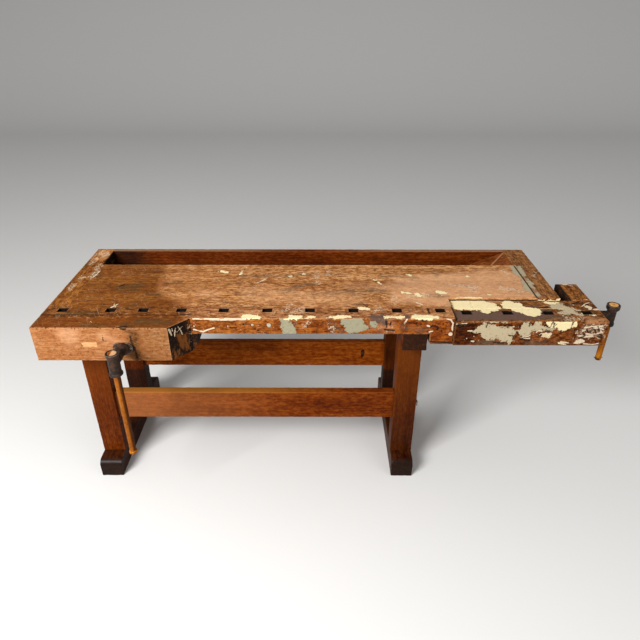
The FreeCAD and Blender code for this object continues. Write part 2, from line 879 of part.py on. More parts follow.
for side, centre_x, bearer_front, stretcher_side in (
    ("left", left_trestle, size.dog_strip_width, 1),
    ("right", right_trestle, zero, -1),
):
    foot(side + "_foot", centre_x)
    leg(side + "_front_leg", centre_x, front_leg, stretcher_side)
    leg(side + "_rear_leg", centre_x, rear_leg, stretcher_side)
    bearer(side + "_bearer", centre_x, bearer_front)

group("top_pegs", [
    cylinder("peg_%d" % number, "z", x, y, slab_bottom - size.peg_sink, size.peg_radius,
             size.peg_sink + size.peg_rise)
    for number, (x, y) in enumerate(peg_places)
])

# Stretchers with their bolts, washers and nuts

left_inner = left_trestle + size.leg_width / 2
right_inner = right_trestle - size.leg_width / 2
stretcher_length = right_inner - left_inner
bolt_length = size.leg_width + size.nut_slot_place + size.bolt_tail
stretcher_bolts = []
stretcher_washers = []
stretcher_nuts = []


def stretcher(label, leg_y, slot_at_back):
    """A rail between two legs, with a slot near each end that takes the nut."""
    y = leg_y + size.stretcher_inset
    low = size.stretcher_floor_gap
    made = board(label, left_inner, y, low, stretcher_length, size.stretcher_thickness,
                 size.stretcher_height)
    stub_height = size.stretcher_height - size.stub_shoulder * 2
    for name, x in (("left_stub", left_inner - size.stub_length), ("right_stub", right_inner)):
        made.block(name, x, y, low + size.stub_shoulder, size.stub_length, size.stretcher_thickness,
                   stub_height)
    middle_line = y + size.stretcher_thickness / 2
    slot_y = y + size.stretcher_thickness - size.nut_slot_depth if slot_at_back else y
    straight = size.nut_slot_height - size.nut_slot_width
    for name, centre, hole_start in (
        ("left", left_inner + size.nut_slot_place, left_inner - size.stub_length),
        ("right", right_inner - size.nut_slot_place, right_inner - size.nut_slot_place - size.bolt_tail),
    ):
        made.slot(name + "_nut_slot", centre - size.nut_slot_width / 2, slot_y, bolt_height - straight / 2,
                  size.nut_slot_width, size.nut_slot_depth, straight)
        for end, sign in (("lower", -1), ("upper", 1)):
            made.bore("%s_%s_slot_end" % (name, end), "y", centre, bolt_height + straight * sign / 2,
                      size.nut_slot_width / 2, slot_y, size.nut_slot_depth)
        made.bore(name + "_bolt_hole", "x", middle_line, bolt_height, size.bolt_radius + size.bolt_clearance,
                  hole_start, size.stub_length + size.nut_slot_place + size.bolt_tail)
    add_bolt(label + "_left", middle_line, left_inner - size.leg_width, 1)
    add_bolt(label + "_right", middle_line, right_inner + size.leg_width, -1)


def add_bolt(name, y, face, side):
    """The bolt, washer and nut at one end of a stretcher; face is the leg's outer face."""
    def from_face(distance, thickness):
        return face + distance if side > 0 else face - distance - thickness
    washer_x = from_face(-size.washer_thickness, size.washer_thickness)
    head_x = from_face(-size.washer_thickness - size.bolt_head_height, size.bolt_head_height)
    shank_x = from_face(-size.washer_thickness, bolt_length + size.washer_thickness)
    nut_x = from_face(size.leg_width + size.nut_slot_place - size.nut_slot_width / 2, size.nut_thickness)
    half_head = size.bolt_head_side / 2
    half_nut = size.nut_side / 2
    head = box(name + "_head", head_x, y - half_head, bolt_height - half_head, size.bolt_head_height,
               size.bolt_head_side, size.bolt_head_side)
    shank = cylinder(name + "_shank", "x", shank_x, y, bolt_height, size.bolt_radius,
                     bolt_length + size.washer_thickness)
    stretcher_bolts.append(joined(name + "_bolt", head, shank))
    washer = cylinder(name + "_washer_disc", "x", washer_x, y, bolt_height, size.washer_radius,
                      size.washer_thickness)
    washer_hole = cylinder(name + "_washer_hole", "x", washer_x, y, bolt_height,
                           size.bolt_radius + size.bolt_clearance, size.washer_thickness)
    stretcher_washers.append(pierced(name + "_washer", washer, washer_hole))
    nut = box(name + "_nut_block", nut_x, y - half_nut, bolt_height - half_nut, size.nut_thickness,
              size.nut_side, size.nut_side)
    nut_hole = cylinder(name + "_nut_hole", "x", nut_x, y, bolt_height, size.bolt_radius + size.bolt_clearance,
                        size.nut_thickness)
    stretcher_nuts.append(pierced(name + "_nut", nut, nut_hole))


stretcher("front_stretcher", front_leg, True)
stretcher("rear_stretcher", rear_leg, False)
group("stretcher_bolts", stretcher_bolts)
group("stretcher_washers", stretcher_washers)
group("stretcher_nuts", stretcher_nuts)

# Front vise: the jaw and what moves with it

jaw_groove_y = jaw_front + size.key_inset
jaw = Piece("front_jaw", left_end, jaw_front, fixed_jaw_bottom)
jaw.prism(
    "jaw_block",
    "z",
    (
        (left_end, jaw_front),
        (left_end + size.jaw_front_length, jaw_front),
        (left_end + size.jaw_back_length, jaw_back),
        (left_end, jaw_back),
    ),
    fixed_jaw_bottom,
    size.fixed_jaw_height,
)
jaw.bore("screw_hole", "y", front_screw_x, front_screw_z, size.screw_radius + size.face_clearance, jaw_front,
         size.jaw_thickness)
for number, x in enumerate(guide_rod_places):
    jaw.bore("guide_rod_seat_%d" % number, "y", x, front_screw_z, size.guide_rod_radius,
             jaw_back - size.guide_rod_seat, size.guide_rod_seat)
key_bottom = front_screw_z + size.groove_radius + size.face_clearance
jaw.slot("key_slot", front_screw_x - size.key_width / 2, jaw_groove_y, key_bottom, size.key_width,
         size.key_thickness, top - key_bottom)
patch_x = left_end + size.patch_place
patch_z = top - size.patch_drop - size.patch_height / 2
jaw.slot("patch_recess", patch_x - size.patch_length / 2, jaw_front, patch_z - size.patch_height / 2,
         size.patch_length, size.patch_thickness, size.patch_height)
collar_screws = [front_screw_x + size.collar_screw_spacing * side / 2 for side in (-1, 1)]
for number, x in enumerate(collar_screws):
    jaw.bore("collar_screw_hole_%d" % number, "y", x, front_screw_z, size.collar_screw_radius, jaw_front,
             size.collar_screw_length - size.collar_thickness)
keep(jaw)

board("jaw_patch", patch_x - size.patch_length / 2, jaw_front, patch_z - size.patch_height / 2,
      size.patch_length, size.patch_thickness, size.patch_height)
board("front_garter_key", front_screw_x - size.key_width / 2, jaw_groove_y, key_bottom, size.key_width,
      size.key_thickness, top - key_bottom)

collar_front = jaw_front - size.collar_thickness
collar_end = size.collar_height / 2
collar_flat = size.collar_length - size.collar_height
collar = Piece("front_collar_plate", front_screw_x, collar_front, front_screw_z)
collar.block("plate", front_screw_x - collar_flat / 2, collar_front, front_screw_z - collar_end, collar_flat,
             size.collar_thickness, size.collar_height)
for name, sign in (("left_round", -1), ("right_round", 1)):
    collar.rod(name, "y", front_screw_x + collar_flat * sign / 2, front_screw_z, collar_end, collar_front,
               size.collar_thickness)
collar.bore("shaft_hole", "y", front_screw_x, front_screw_z, size.screw_radius + size.shaft_clearance,
            collar_front, size.collar_thickness)
screws = []
for number, x in enumerate(collar_screws):
    collar.bore("screw_hole_%d" % number, "y", x, front_screw_z, size.collar_screw_radius, collar_front,
                size.collar_thickness)
    collar.bore("head_hole_%d" % number, "y", x, front_screw_z, size.collar_screw_head, collar_front,
                size.washer_thickness)
    screws.append(headed("collar_screw_%d" % number, "y", True, x, collar_front, front_screw_z,
                         size.collar_screw_radius, size.collar_screw_length, size.collar_screw_head,
                         size.washer_thickness))
keep(collar)
group("front_collar_screws", screws)
group("front_guide_rods", [
    cylinder("guide_rod_%d" % number, "y", x, jaw_back - size.guide_rod_seat, front_screw_z,
             size.guide_rod_radius, size.guide_rod_length)
    for number, x in enumerate(guide_rod_places)
])

# Screws: a turned shaft, a groove for its garter key, and ring threads of the real pitch

def screw_shaft(label, x, y, z, along, profile, thread_start, thread_end):
    """A screw that runs up an axis from a point; profile gives distance along it and radius."""
    made = Piece(label, x, y, z)
    plane = "x" if along == "y" else "y"
    start = made.base[along]
    made.turned("shaft", plane, "H_Axis", [(start + distance, z + radius) for distance, radius in profile])
    pitch = size.thread_pitch
    root = size.screw_radius - size.thread_depth
    outside = size.screw_radius + size.thread_depth
    low, rise, fall, high = THREAD_PROFILE_SHARES
    ring = made.turned("thread_ring", plane, "H_Axis", [
        (start + thread_start + pitch * share, z + radius)
        for share, radius in ((low, outside), (rise, root), (fall, root), (high, outside))
    ], "Groove")
    count = int((thread_end.value - thread_start.value) / pitch.value)
    rings = made.body.newObject("PartDesign::LinearPattern", "thread")
    rings.Originals = [ring]
    rings.Direction = (made.datum("Y_Axis" if along == "y" else "X_Axis"), [""])
    rings.Occurrences = count
    rings.setExpression("Length", (pitch * (count - 1)).formula)
    made.body.Tip = rings
    keep(made)
    return made


def shaft_profile(length, groove_start, groove_width, tip_first):
    """Distances and radii of a plain shaft with one groove and a tapered tip."""
    outer = size.screw_radius
    root = outer - size.thread_depth
    tip = size.thread_depth
    low_end = [(zero, zero), (zero, root), (tip, outer)] if tip_first else [(zero, zero), (zero, outer)]
    high_end = [(length, outer), (length, zero)]
    if not tip_first:
        high_end = [(length - tip, outer), (length, root), (length, zero)]
    groove_end = groove_start + groove_width
    groove = [
        (groove_start, outer),
        (groove_start, size.groove_radius),
        (groove_end, size.groove_radius),
        (groove_end, outer),
    ]
    return low_end + groove + high_end


key_groove_width = size.key_thickness + size.face_clearance * 2
front_screw_start = front_hub_y + size.screw_seat
front_screw = screw_shaft(
    "front_screw", front_screw_x, front_screw_start, front_screw_z, "y",
    shaft_profile(size.front_screw_length, jaw_groove_y - size.face_clearance - front_screw_start,
                  key_groove_width, False),
    jaw_back - front_screw_start,
    size.front_screw_length,
)
front_pin_y = front_hub_y + size.hub_pin_place
pin_low = size.neck_radius + size.hub_pin_stand
pin_length = pin_low * 2
front_screw.body.Tip = front_screw.bore("pin_hole", "z", front_screw_x, front_pin_y, size.pin_radius,
                                        front_screw_z - pin_low, pin_length)

# Hubs: an upright sleeve that the bar hangs in, and a neck that holds the screw

def sleeve_profile(x, z, half, shoulders):
    """Points of a sleeve from its foot to its top; shoulders gives distance from the middle and radius."""
    points = [(x, z - half)]
    points += [(x + radius, z + height) for height, radius in shoulders]
    points.append((x, z + half))
    return points


half_sleeve = size.sleeve_height / 2
rim_slope = size.rim_height * RIM_SLOPE_SHARE
front_bar_bore = size.front_bar_width * OCTAGON_CORNER_SHARE / 2 + size.slide_clearance
head_seat = size.bar_head_height + size.face_clearance
front_sleeve_top = front_screw_z + half_sleeve
neck_length = size.front_hub_reach - size.collar_thickness - size.face_clearance
front_hub = Piece("front_hub", front_screw_x, front_hub_y, front_screw_z)
front_hub.turned("sleeve", "y", "V_Axis", sleeve_profile(front_screw_x, front_screw_z, half_sleeve, (
    (-half_sleeve, size.rim_radius),
    (-half_sleeve + size.rim_height, size.rim_radius),
    (-half_sleeve + rim_slope, size.sleeve_radius),
    (half_sleeve - rim_slope, size.sleeve_radius),
    (half_sleeve - size.rim_height, size.rim_radius),
    (half_sleeve, size.rim_radius),
)))
front_hub.turned("neck", "x", "H_Axis", (
    (front_hub_y, front_screw_z),
    (front_hub_y, front_screw_z + size.neck_radius),
    (front_hub_y + neck_length - size.neck_flare_length * 2, front_screw_z + size.neck_radius),
    (front_hub_y + neck_length - size.neck_flare_length / 2, front_screw_z + size.neck_flare_radius),
    (front_hub_y + neck_length, front_screw_z + size.neck_flare_radius),
    (front_hub_y + neck_length, front_screw_z),
))
front_hub.bore("screw_socket", "y", front_screw_x, front_screw_z, size.screw_radius, front_screw_start,
               neck_length - size.screw_seat)
front_hub.bore("bar_hole", "z", front_screw_x, front_hub_y, front_bar_bore, front_screw_z - half_sleeve,
               size.sleeve_height)
front_hub.bore("head_seat", "z", front_screw_x, front_hub_y, size.bar_head_radius + size.face_clearance,
               front_sleeve_top - head_seat, head_seat)
front_hub.bore("pin_hole", "z", front_screw_x, front_pin_y, size.pin_radius, front_screw_z - pin_low,
               pin_length)
keep(front_hub)
group("front_hub_pin", [
    cylinder("front_pin", "z", front_screw_x, front_pin_y, front_screw_z - pin_low, size.pin_radius, pin_length)
])

# Front nut, let into the back of the fixed jaw

front_nut = board("front_nut", front_screw_x - size.front_nut_side / 2,
                  size.dog_strip_width - size.front_nut_length, front_screw_z - size.front_nut_side / 2,
                  size.front_nut_side, size.front_nut_length, size.front_nut_side)
front_nut.bore("thread_hole", "y", front_screw_x, front_screw_z, size.screw_radius + size.face_clearance,
               size.dog_strip_width - size.front_nut_length, size.front_nut_length)

# Front bar: eight-sided, with a round head that hangs in the sleeve and a turned knob at its foot

front_bar_foot = front_sleeve_top - size.front_bar_length
front_shaft_foot = front_bar_foot + size.bar_knob_height
front_head_foot = front_sleeve_top - size.bar_head_height
half_bar = size.front_bar_width / 2
corner = half_bar * OCTAGON_SHARE
front_bar = Piece("front_bar", front_screw_x, front_hub_y, front_shaft_foot)
front_bar.prism(
    "shaft",
    "z",
    [
        (front_screw_x + a, front_hub_y + b)
        for a, b in (
            (half_bar, -corner), (half_bar, corner), (corner, half_bar), (-corner, half_bar),
            (-half_bar, corner), (-half_bar, -corner), (-corner, -half_bar), (corner, -half_bar),
        )
    ],
    front_shaft_foot,
    front_head_foot - front_shaft_foot,
)
front_bar.rod("head", "z", front_screw_x, front_hub_y, size.bar_head_radius, front_head_foot,
              size.bar_head_height)
front_bar.rod("knob_tenon", "z", front_screw_x, front_hub_y, size.knob_tenon_radius,
              front_shaft_foot - size.knob_tenon_length, size.knob_tenon_length)
keep(front_bar)

knob = Piece("front_bar_knob", front_screw_x, front_hub_y, front_bar_foot)
knob_round = size.bar_knob_height / 4
knob.turned("knob", "y", "V_Axis", (
    (front_screw_x, front_bar_foot),
    (front_screw_x + size.bar_knob_radius - knob_round, front_bar_foot),
    (front_screw_x + size.bar_knob_radius, front_bar_foot + knob_round),
    (front_screw_x + size.bar_knob_radius, front_shaft_foot - knob_round),
    (front_screw_x + size.bar_knob_radius - knob_round, front_shaft_foot),
    (front_screw_x, front_shaft_foot),
))
knob.bore("tenon_hole", "z", front_screw_x, front_hub_y, size.knob_tenon_radius,
          front_shaft_foot - size.knob_tenon_length, size.knob_tenon_length)
keep(knob)

# Tail vise: dog block, jaw block, end block, arm, cover and guide bar move as one

dog_block = Piece("tail_dog_block", seam_front, vise_front, vise_bottom)
dog_block.prism(
    "block",
    "z",
    (
        (seam_x(vise_front) + size.seam_gap, vise_front),
        (end_block_start, vise_front),
        (end_block_start, dog_block_back),
        (seam_x(dog_block_back) + size.seam_gap, dog_block_back),
    ),
    vise_bottom,
    size.vise_height,
)
half_hole = size.dog_hole_length / 2
hole_front = size.dog_line - size.dog_hole_width / 2
vise_holes = dog_block.sketch("dog_holes_outline", "z", vise_bottom)
for share in VISE_HOLE_SHARES:
    dog_block.rectangle(vise_holes, "z", seam_front + size.vise_length * share - half_hole, hole_front,
                        size.dog_hole_length, size.dog_hole_width)
dog_block.feature("Pocket", "dog_holes", vise_holes, "z", size.vise_height)
plug_x = seam_front + size.plug_place
plug_z = vise_top - size.plug_drop
dog_block.bore("plug_hole", "y", plug_x, plug_z, size.plug_radius, vise_front, size.plug_depth)
keep(dog_block)
group("tail_plug", [cylinder("plug", "y", plug_x, vise_front, plug_z, size.plug_radius, size.plug_depth)])

jaw_block_end = seam_x(size.vise_space_depth) + size.jaw_block_length
jaw_block = Piece("tail_jaw_block", seam_front, dog_block_back, vise_bottom)
jaw_block.prism(
    "block",
    "z",
    (
        (seam_x(dog_block_back) + size.seam_gap, dog_block_back),
        (jaw_block_end, dog_block_back),
        (jaw_block_end, vise_back),
        (seam_x(vise_back) + size.seam_gap, vise_back),
    ),
    vise_bottom,
    size.vise_height,
)
jaw_block.block("lip", jaw_block_end - size.lip_length, vise_back, lip_top - size.lip_thickness,
                size.lip_length, size.lip_reach, size.lip_thickness)
keep(jaw_block)

end_block = board("tail_end_block", end_block_start, vise_front, vise_bottom, size.end_block_length,
                  vise_back - vise_front, size.vise_height)
end_block.slot("dog_hole", seam_front + size.vise_length * END_HOLE_SHARE - half_hole, hole_front, vise_bottom,
               size.dog_hole_length, size.dog_hole_width, size.vise_height)
end_block.bore("screw_hole", "x", tail_screw_y, tail_screw_z, size.screw_radius + size.face_clearance,
               end_block_start, size.end_block_length)
tail_key_x = vise_end - size.tail_key_inset - size.key_thickness
tail_key_top = tail_screw_z - size.groove_radius - size.face_clearance
end_block.slot("key_slot", tail_key_x, tail_screw_y - size.key_width / 2, vise_bottom, size.key_thickness,
               size.key_width, tail_key_top - vise_bottom)
board("tail_garter_key", tail_key_x, tail_screw_y - size.key_width / 2, vise_bottom, size.key_thickness,
      size.key_width, tail_key_top - vise_bottom)

arm = board("tail_arm", arm_start, vise_back, vise_bottom, size.arm_length, arm_back - vise_back,
            size.vise_height)
arm.slot("guide_bar_notch", arm_start, guide_bar_front, guide_bar_bottom, size.guide_bar_seat,
         size.guide_bar_width, size.guide_bar_height)
board("tail_guide_bar", guide_bar_start, guide_bar_front, guide_bar_bottom, size.guide_bar_length,
      size.guide_bar_width, size.guide_bar_height)
board("tail_cover", jaw_block_end, dog_block_back, vise_top - size.cover_thickness,
      end_block_start - jaw_block_end, vise_back - dog_block_back, size.cover_thickness)

plate_low = tail_screw_z - size.tail_plate_height / 2
plate = board("tail_collar_plate", vise_end, tail_screw_y - size.tail_plate_width / 2, plate_low,
              size.tail_plate_thickness, size.tail_plate_width, size.tail_plate_height)
plate.bore("shaft_hole", "x", tail_screw_y, tail_screw_z, size.screw_radius + size.shaft_clearance, vise_end,
           size.tail_plate_thickness)
plate_screws = []
plate_face = vise_end + size.tail_plate_thickness
for number, side in enumerate((-1, 1)):
    z = tail_screw_z + size.tail_plate_spacing * side / 2
    screw_start = plate_face - size.collar_screw_length
    plate.bore("screw_hole_%d" % number, "x", tail_screw_y, z, size.collar_screw_radius, vise_end,
               size.tail_plate_thickness)
    plate.bore("head_hole_%d" % number, "x", tail_screw_y, z, size.collar_screw_head,
               plate_face - size.washer_thickness, size.washer_thickness)
    end_block.bore("plate_screw_hole_%d" % number, "x", tail_screw_y, z, size.collar_screw_radius,
                   screw_start, size.collar_screw_length)
    plate_screws.append(headed("plate_screw_%d" % number, "x", False, screw_start, tail_screw_y, z,
                               size.collar_screw_radius, size.collar_screw_length, size.collar_screw_head,
                               size.washer_thickness))
group("tail_collar_screws", plate_screws)

# Tail screw, its hub and its bar

tail_screw_start = seam_front + size.tail_screw_tip
tail_screw_length = tail_hub_x - size.screw_seat - tail_screw_start
tail_screw = screw_shaft(
    "tail_screw", tail_screw_start, tail_screw_y, tail_screw_z, "x",
    shaft_profile(tail_screw_length, tail_key_x - size.face_clearance - tail_screw_start,
                  key_groove_width, True),
    size.thread_depth,
    end_block_start - tail_screw_start,
)
tail_pin_x = tail_hub_x - size.hub_pin_place
tail_screw.body.Tip = tail_screw.bore("pin_hole", "z", tail_pin_x, tail_screw_y, size.pin_radius,
                                      tail_screw_z - pin_low, pin_length)

half_tail = size.tail_sleeve_height / 2
tail_sleeve_top = tail_screw_z + half_tail
tail_neck_start = plate_face + size.face_clearance
tail_seat = size.tail_head_height + size.face_clearance
tail_hub = Piece("tail_hub", tail_hub_x, tail_screw_y, tail_screw_z)
tail_hub.turned("sleeve", "y", "V_Axis", sleeve_profile(tail_hub_x, tail_screw_z, half_tail, (
    (-half_tail, size.tail_lip_radius),
    (-half_tail + size.tail_lip_height, size.tail_lip_radius),
    (-half_tail + size.tail_lip_height * RIM_SLOPE_SHARE, size.tail_sleeve_radius),
    (half_tail - size.tail_rim_height * RIM_SLOPE_SHARE, size.tail_sleeve_radius),
    (half_tail - size.tail_rim_height, size.tail_rim_radius),
    (half_tail, size.tail_rim_radius),
)))
tail_hub.turned("neck", "y", "H_Axis", (
    (tail_neck_start, tail_screw_z),
    (tail_neck_start, tail_screw_z + size.neck_flare_radius),
    (tail_neck_start + size.neck_flare_length / 2, tail_screw_z + size.neck_flare_radius),
    (tail_neck_start + size.neck_flare_length, tail_screw_z + size.neck_radius),
    (tail_hub_x, tail_screw_z + size.neck_radius),
    (tail_hub_x, tail_screw_z),
))
tail_hub.bore("screw_socket", "x", tail_screw_y, tail_screw_z, size.screw_radius, tail_neck_start,
              tail_hub_x - size.screw_seat - tail_neck_start)
tail_hub.bore("bar_hole", "z", tail_hub_x, tail_screw_y, size.tail_bar_radius + size.slide_clearance,
              tail_screw_z - half_tail, size.tail_sleeve_height)
tail_hub.bore("head_seat", "z", tail_hub_x, tail_screw_y, size.tail_head_radius + size.face_clearance,
              tail_sleeve_top - tail_seat, tail_seat)
tail_hub.bore("pin_hole", "z", tail_pin_x, tail_screw_y, size.pin_radius, tail_screw_z - pin_low, pin_length)
keep(tail_hub)
group("tail_hub_pin", [
    cylinder("tail_pin", "z", tail_pin_x, tail_screw_y, tail_screw_z - pin_low, size.pin_radius, pin_length)
])

tail_bar_foot = tail_sleeve_top - size.tail_bar_length
tail_head_foot = tail_sleeve_top - size.tail_head_height
stop_pin_z = tail_bar_foot + size.stop_pin_place
stop_pin_x = tail_hub_x - size.stop_pin_length / 2
tail_bar = Piece("tail_bar", tail_hub_x, tail_screw_y, tail_bar_foot)
tail_bar.rod("shaft", "z", tail_hub_x, tail_screw_y, size.tail_bar_radius, tail_bar_foot,
             tail_head_foot - tail_bar_foot)
tail_bar.rod("head", "z", tail_hub_x, tail_screw_y, size.tail_head_radius, tail_head_foot,
             size.tail_head_height)
tail_bar.bore("pin_hole", "x", tail_screw_y, stop_pin_z, size.stop_pin_radius, stop_pin_x,
              size.stop_pin_length)
keep(tail_bar)
group("tail_bar_pin", [
    cylinder("stop_pin", "x", stop_pin_x, tail_screw_y, stop_pin_z, size.stop_pin_radius, size.stop_pin_length)
])

# Fixed under the top for the tail vise: nut block, nut, grooved runner and bracket

nut_block = board("tail_nut_block", nut_block_start, nut_block_front, nut_block_bottom, size.nut_block_length,
                  size.vise_space_depth - nut_block_front, size.nut_block_height)
nut_block.bore("screw_hole", "x", tail_screw_y, tail_screw_z, size.screw_radius + size.face_clearance * 3,
               nut_block_start, size.nut_block_length)
tail_nut_x = nut_block_start + size.nut_block_length - size.tail_nut_length
half_side = size.tail_nut_side / 2
nut_block.slot("nut_mortise", tail_nut_x, tail_screw_y - half_side, tail_screw_z - half_side,
               size.tail_nut_length, size.tail_nut_side, size.tail_nut_side)
block_bolts = []
for number, x in enumerate(nut_block_bolts):
    nut_block.bore("bolt_hole_%d" % number, "y", x, nut_block_bolt_z, size.nut_block_bolt_radius,
                   nut_block_front, size.vise_space_depth - nut_block_front)
    nut_block.bore("bolt_head_hole_%d" % number, "y", x, nut_block_bolt_z, size.nut_block_head_radius,
                   nut_block_front, size.nut_block_head_height)
    block_bolts.append(headed("nut_block_bolt_%d" % number, "y", True, x, nut_block_front, nut_block_bolt_z,
                              size.nut_block_bolt_radius, size.nut_block_bolt_length,
                              size.nut_block_head_radius, size.nut_block_head_height))
group("nut_block_bolts", block_bolts)

tail_nut = board("tail_nut", tail_nut_x, tail_screw_y - half_side, tail_screw_z - half_side,
                 size.tail_nut_length, size.tail_nut_side, size.tail_nut_side)
tail_nut.bore("thread_hole", "x", tail_screw_y, tail_screw_z, size.screw_radius + size.face_clearance,
              tail_nut_x, size.tail_nut_length)

runner = board("tail_runner", runner_start, runner_front, runner_bottom, size.runner_length,
               size.runner_width, size.runner_height)
runner.slot("lip_groove", runner_start, runner_front, lip_top - size.lip_thickness - guide_play,
            size.runner_length, vise_back + size.lip_reach + guide_play - runner_front,
            size.lip_thickness + guide_play * 2)
bracket = board("tail_guide_bracket", bracket_start, bracket_front, bracket_bottom, size.bracket_length,
                bracket_width, slab_bottom - bracket_bottom)
bracket.slot("guide_bar_hole", bracket_start, guide_bar_front - guide_play, guide_bar_bottom - guide_play,
             size.bracket_length, size.guide_bar_width + guide_play * 2,
             size.guide_bar_height + guide_play * 2)
runner_screws = []
for number, (x, y, low) in enumerate(runner_screw_places()):
    holder = runner if number < len(RUNNER_SCREW_SHARES) else bracket
    holder.bore("screw_hole_%d" % number, "z", x, y, size.runner_screw_radius, low, slab_bottom - low)
    holder.bore("screw_head_hole_%d" % number, "z", x, y, size.runner_screw_head, low,
                size.runner_screw_head_height)
    runner_screws.append(headed("runner_screw_%d" % number, "z", True, x, y, low, size.runner_screw_radius,
                                slab_bottom + size.runner_screw_bite - low, size.runner_screw_head,
                                size.runner_screw_head_height))
group("runner_screws", runner_screws)

# Every object and every sub-part is checked before anything is written

doc.recompute()
for item in doc.Objects:
    if "Invalid" in item.State or "Error" in item.State:
        raise RuntimeError("%s failed: %s" % (item.Label, item.State))
for label, item in pieces.items():
    if item.Shape.isNull() or not item.Shape.isValid():
        raise RuntimeError("%s has no valid shape" % label)
    if item.Label != label:
        raise RuntimeError("two sub-parts are called %s" % label)

os.makedirs("parts", exist_ok=True)
for label, item in pieces.items():
    item.Shape.exportStep("parts/%s.step" % label)
print("%d sub-parts" % len(pieces))
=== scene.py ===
# %% [markdown]
# A joiner's workbench in Blender. The construction is fixed: every piece of the bench is loaded
# at its real size and place. What this file adds is how the bench looks after many years of work:
# eased and dented arrises, old paint in flakes, varnish, cast iron. Everything is in metres, X runs
# along the bench, Y from front to back and Z up from the floor.

import json
import math
import random

import bmesh
import bpy
import numpy as np
from mathutils import Matrix, Vector, kdtree, noise


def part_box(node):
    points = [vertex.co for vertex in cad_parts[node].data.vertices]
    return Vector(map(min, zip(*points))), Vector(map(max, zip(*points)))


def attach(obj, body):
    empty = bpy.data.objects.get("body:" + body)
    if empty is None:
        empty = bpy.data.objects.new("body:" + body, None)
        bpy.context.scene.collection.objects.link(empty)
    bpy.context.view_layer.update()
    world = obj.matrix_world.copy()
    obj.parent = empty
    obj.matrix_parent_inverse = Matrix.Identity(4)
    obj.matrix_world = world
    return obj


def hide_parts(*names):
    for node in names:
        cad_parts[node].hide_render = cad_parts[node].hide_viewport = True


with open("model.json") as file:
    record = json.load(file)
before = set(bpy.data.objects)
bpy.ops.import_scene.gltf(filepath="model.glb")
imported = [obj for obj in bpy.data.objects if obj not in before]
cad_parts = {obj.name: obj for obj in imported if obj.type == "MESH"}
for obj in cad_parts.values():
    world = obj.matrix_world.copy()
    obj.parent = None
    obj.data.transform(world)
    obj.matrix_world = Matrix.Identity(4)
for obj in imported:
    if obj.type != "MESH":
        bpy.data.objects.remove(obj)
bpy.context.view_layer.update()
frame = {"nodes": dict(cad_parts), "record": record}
nodes = frame["nodes"]
body_of = {}
for body, members in frame["record"]["behaviour"]["bodies"].items():
    for member in members:
        body_of[member] = body

# %% [markdown]
# The camera comes first, because it says how fine the work has to be. It stands at head height in
# front of the bench and looks down by thirty degrees. Its lens is written as a focal length on a
# sensor 36 mm wide, which is how a photographer would say it.

# %% Camera
CAMERA_PLACE = (-0.0674, -2.0487, 1.865)
CAMERA_PITCH = 30.047
CAMERA_YAW = -0.013
CAMERA_ROLL = 0.105
CAMERA_LENS = 31.31


def add_object(name, data):
    """A new object in the scene."""
    made = bpy.data.objects.new(name, data)
    bpy.context.scene.collection.objects.link(made)
    return made


camera = add_object("camera", bpy.data.cameras.new("camera"))
camera.data.lens = CAMERA_LENS
turn_down = Matrix.Rotation(math.radians(90 - CAMERA_PITCH), 4, "X")
turn_aside = Matrix.Rotation(math.radians(CAMERA_YAW), 4, "Z")
tilt = Matrix.Rotation(math.radians(CAMERA_ROLL), 4, "Z")
camera.matrix_world = Matrix.Translation(CAMERA_PLACE) @ turn_aside @ turn_down @ tilt
bpy.context.scene.camera = camera
bpy.context.scene.view_settings.view_transform = "Standard"
print("camera looks down", CAMERA_PITCH, "degrees")

# %% [markdown]
# Shader maths reads best as ordinary sums. A Wire stands for one output of a node. Adding,
# multiplying or comparing wires makes the Math nodes and joins them up. A Finish is a material
# while it is being made: one method adds any kind of node, and the short helpers after it are
# the few that a worn wooden bench needs again and again.

# %% Wires and finishes
def plug(tree, value, slot):
    """Joins a wire to a socket, or sets the socket to a plain value."""
    if isinstance(value, Wire):
        tree.links.new(value.socket, slot)
    elif isinstance(value, tuple) and len(value) == 3 and slot.type == "RGBA":
        slot.default_value = (*value, 1)
    else:
        slot.default_value = value


def join(operation, swapped=False):
    """A method that puts the wire and one other term into a Math node."""
    def joined(self, other):
        terms = (other, self) if swapped else (self, other)
        return self.maths(operation, *terms)
    return joined


class Wire:
    """One output of a material's nodes, on which sums can be written."""

    def __init__(self, tree, socket):
        self.tree = tree
        self.socket = socket

    def maths(self, operation, *terms):
        made = self.tree.nodes.new("ShaderNodeMath")
        made.operation = operation
        for slot, term in zip(made.inputs, terms):
            plug(self.tree, term, slot)
        return Wire(self.tree, made.outputs[0])

    __add__, __radd__ = join("ADD"), join("ADD", True)
    __sub__, __rsub__ = join("SUBTRACT"), join("SUBTRACT", True)
    __mul__, __rmul__ = join("MULTIPLY"), join("MULTIPLY", True)
    __truediv__, __pow__, highest = join("DIVIDE"), join("POWER"), join("MAXIMUM")

    def __abs__(self):
        return self.maths("ABSOLUTE", self)

    def whole(self):
        return self.maths("FLOOR", self)

    def wave(self):
        return self.maths("SINE", self)


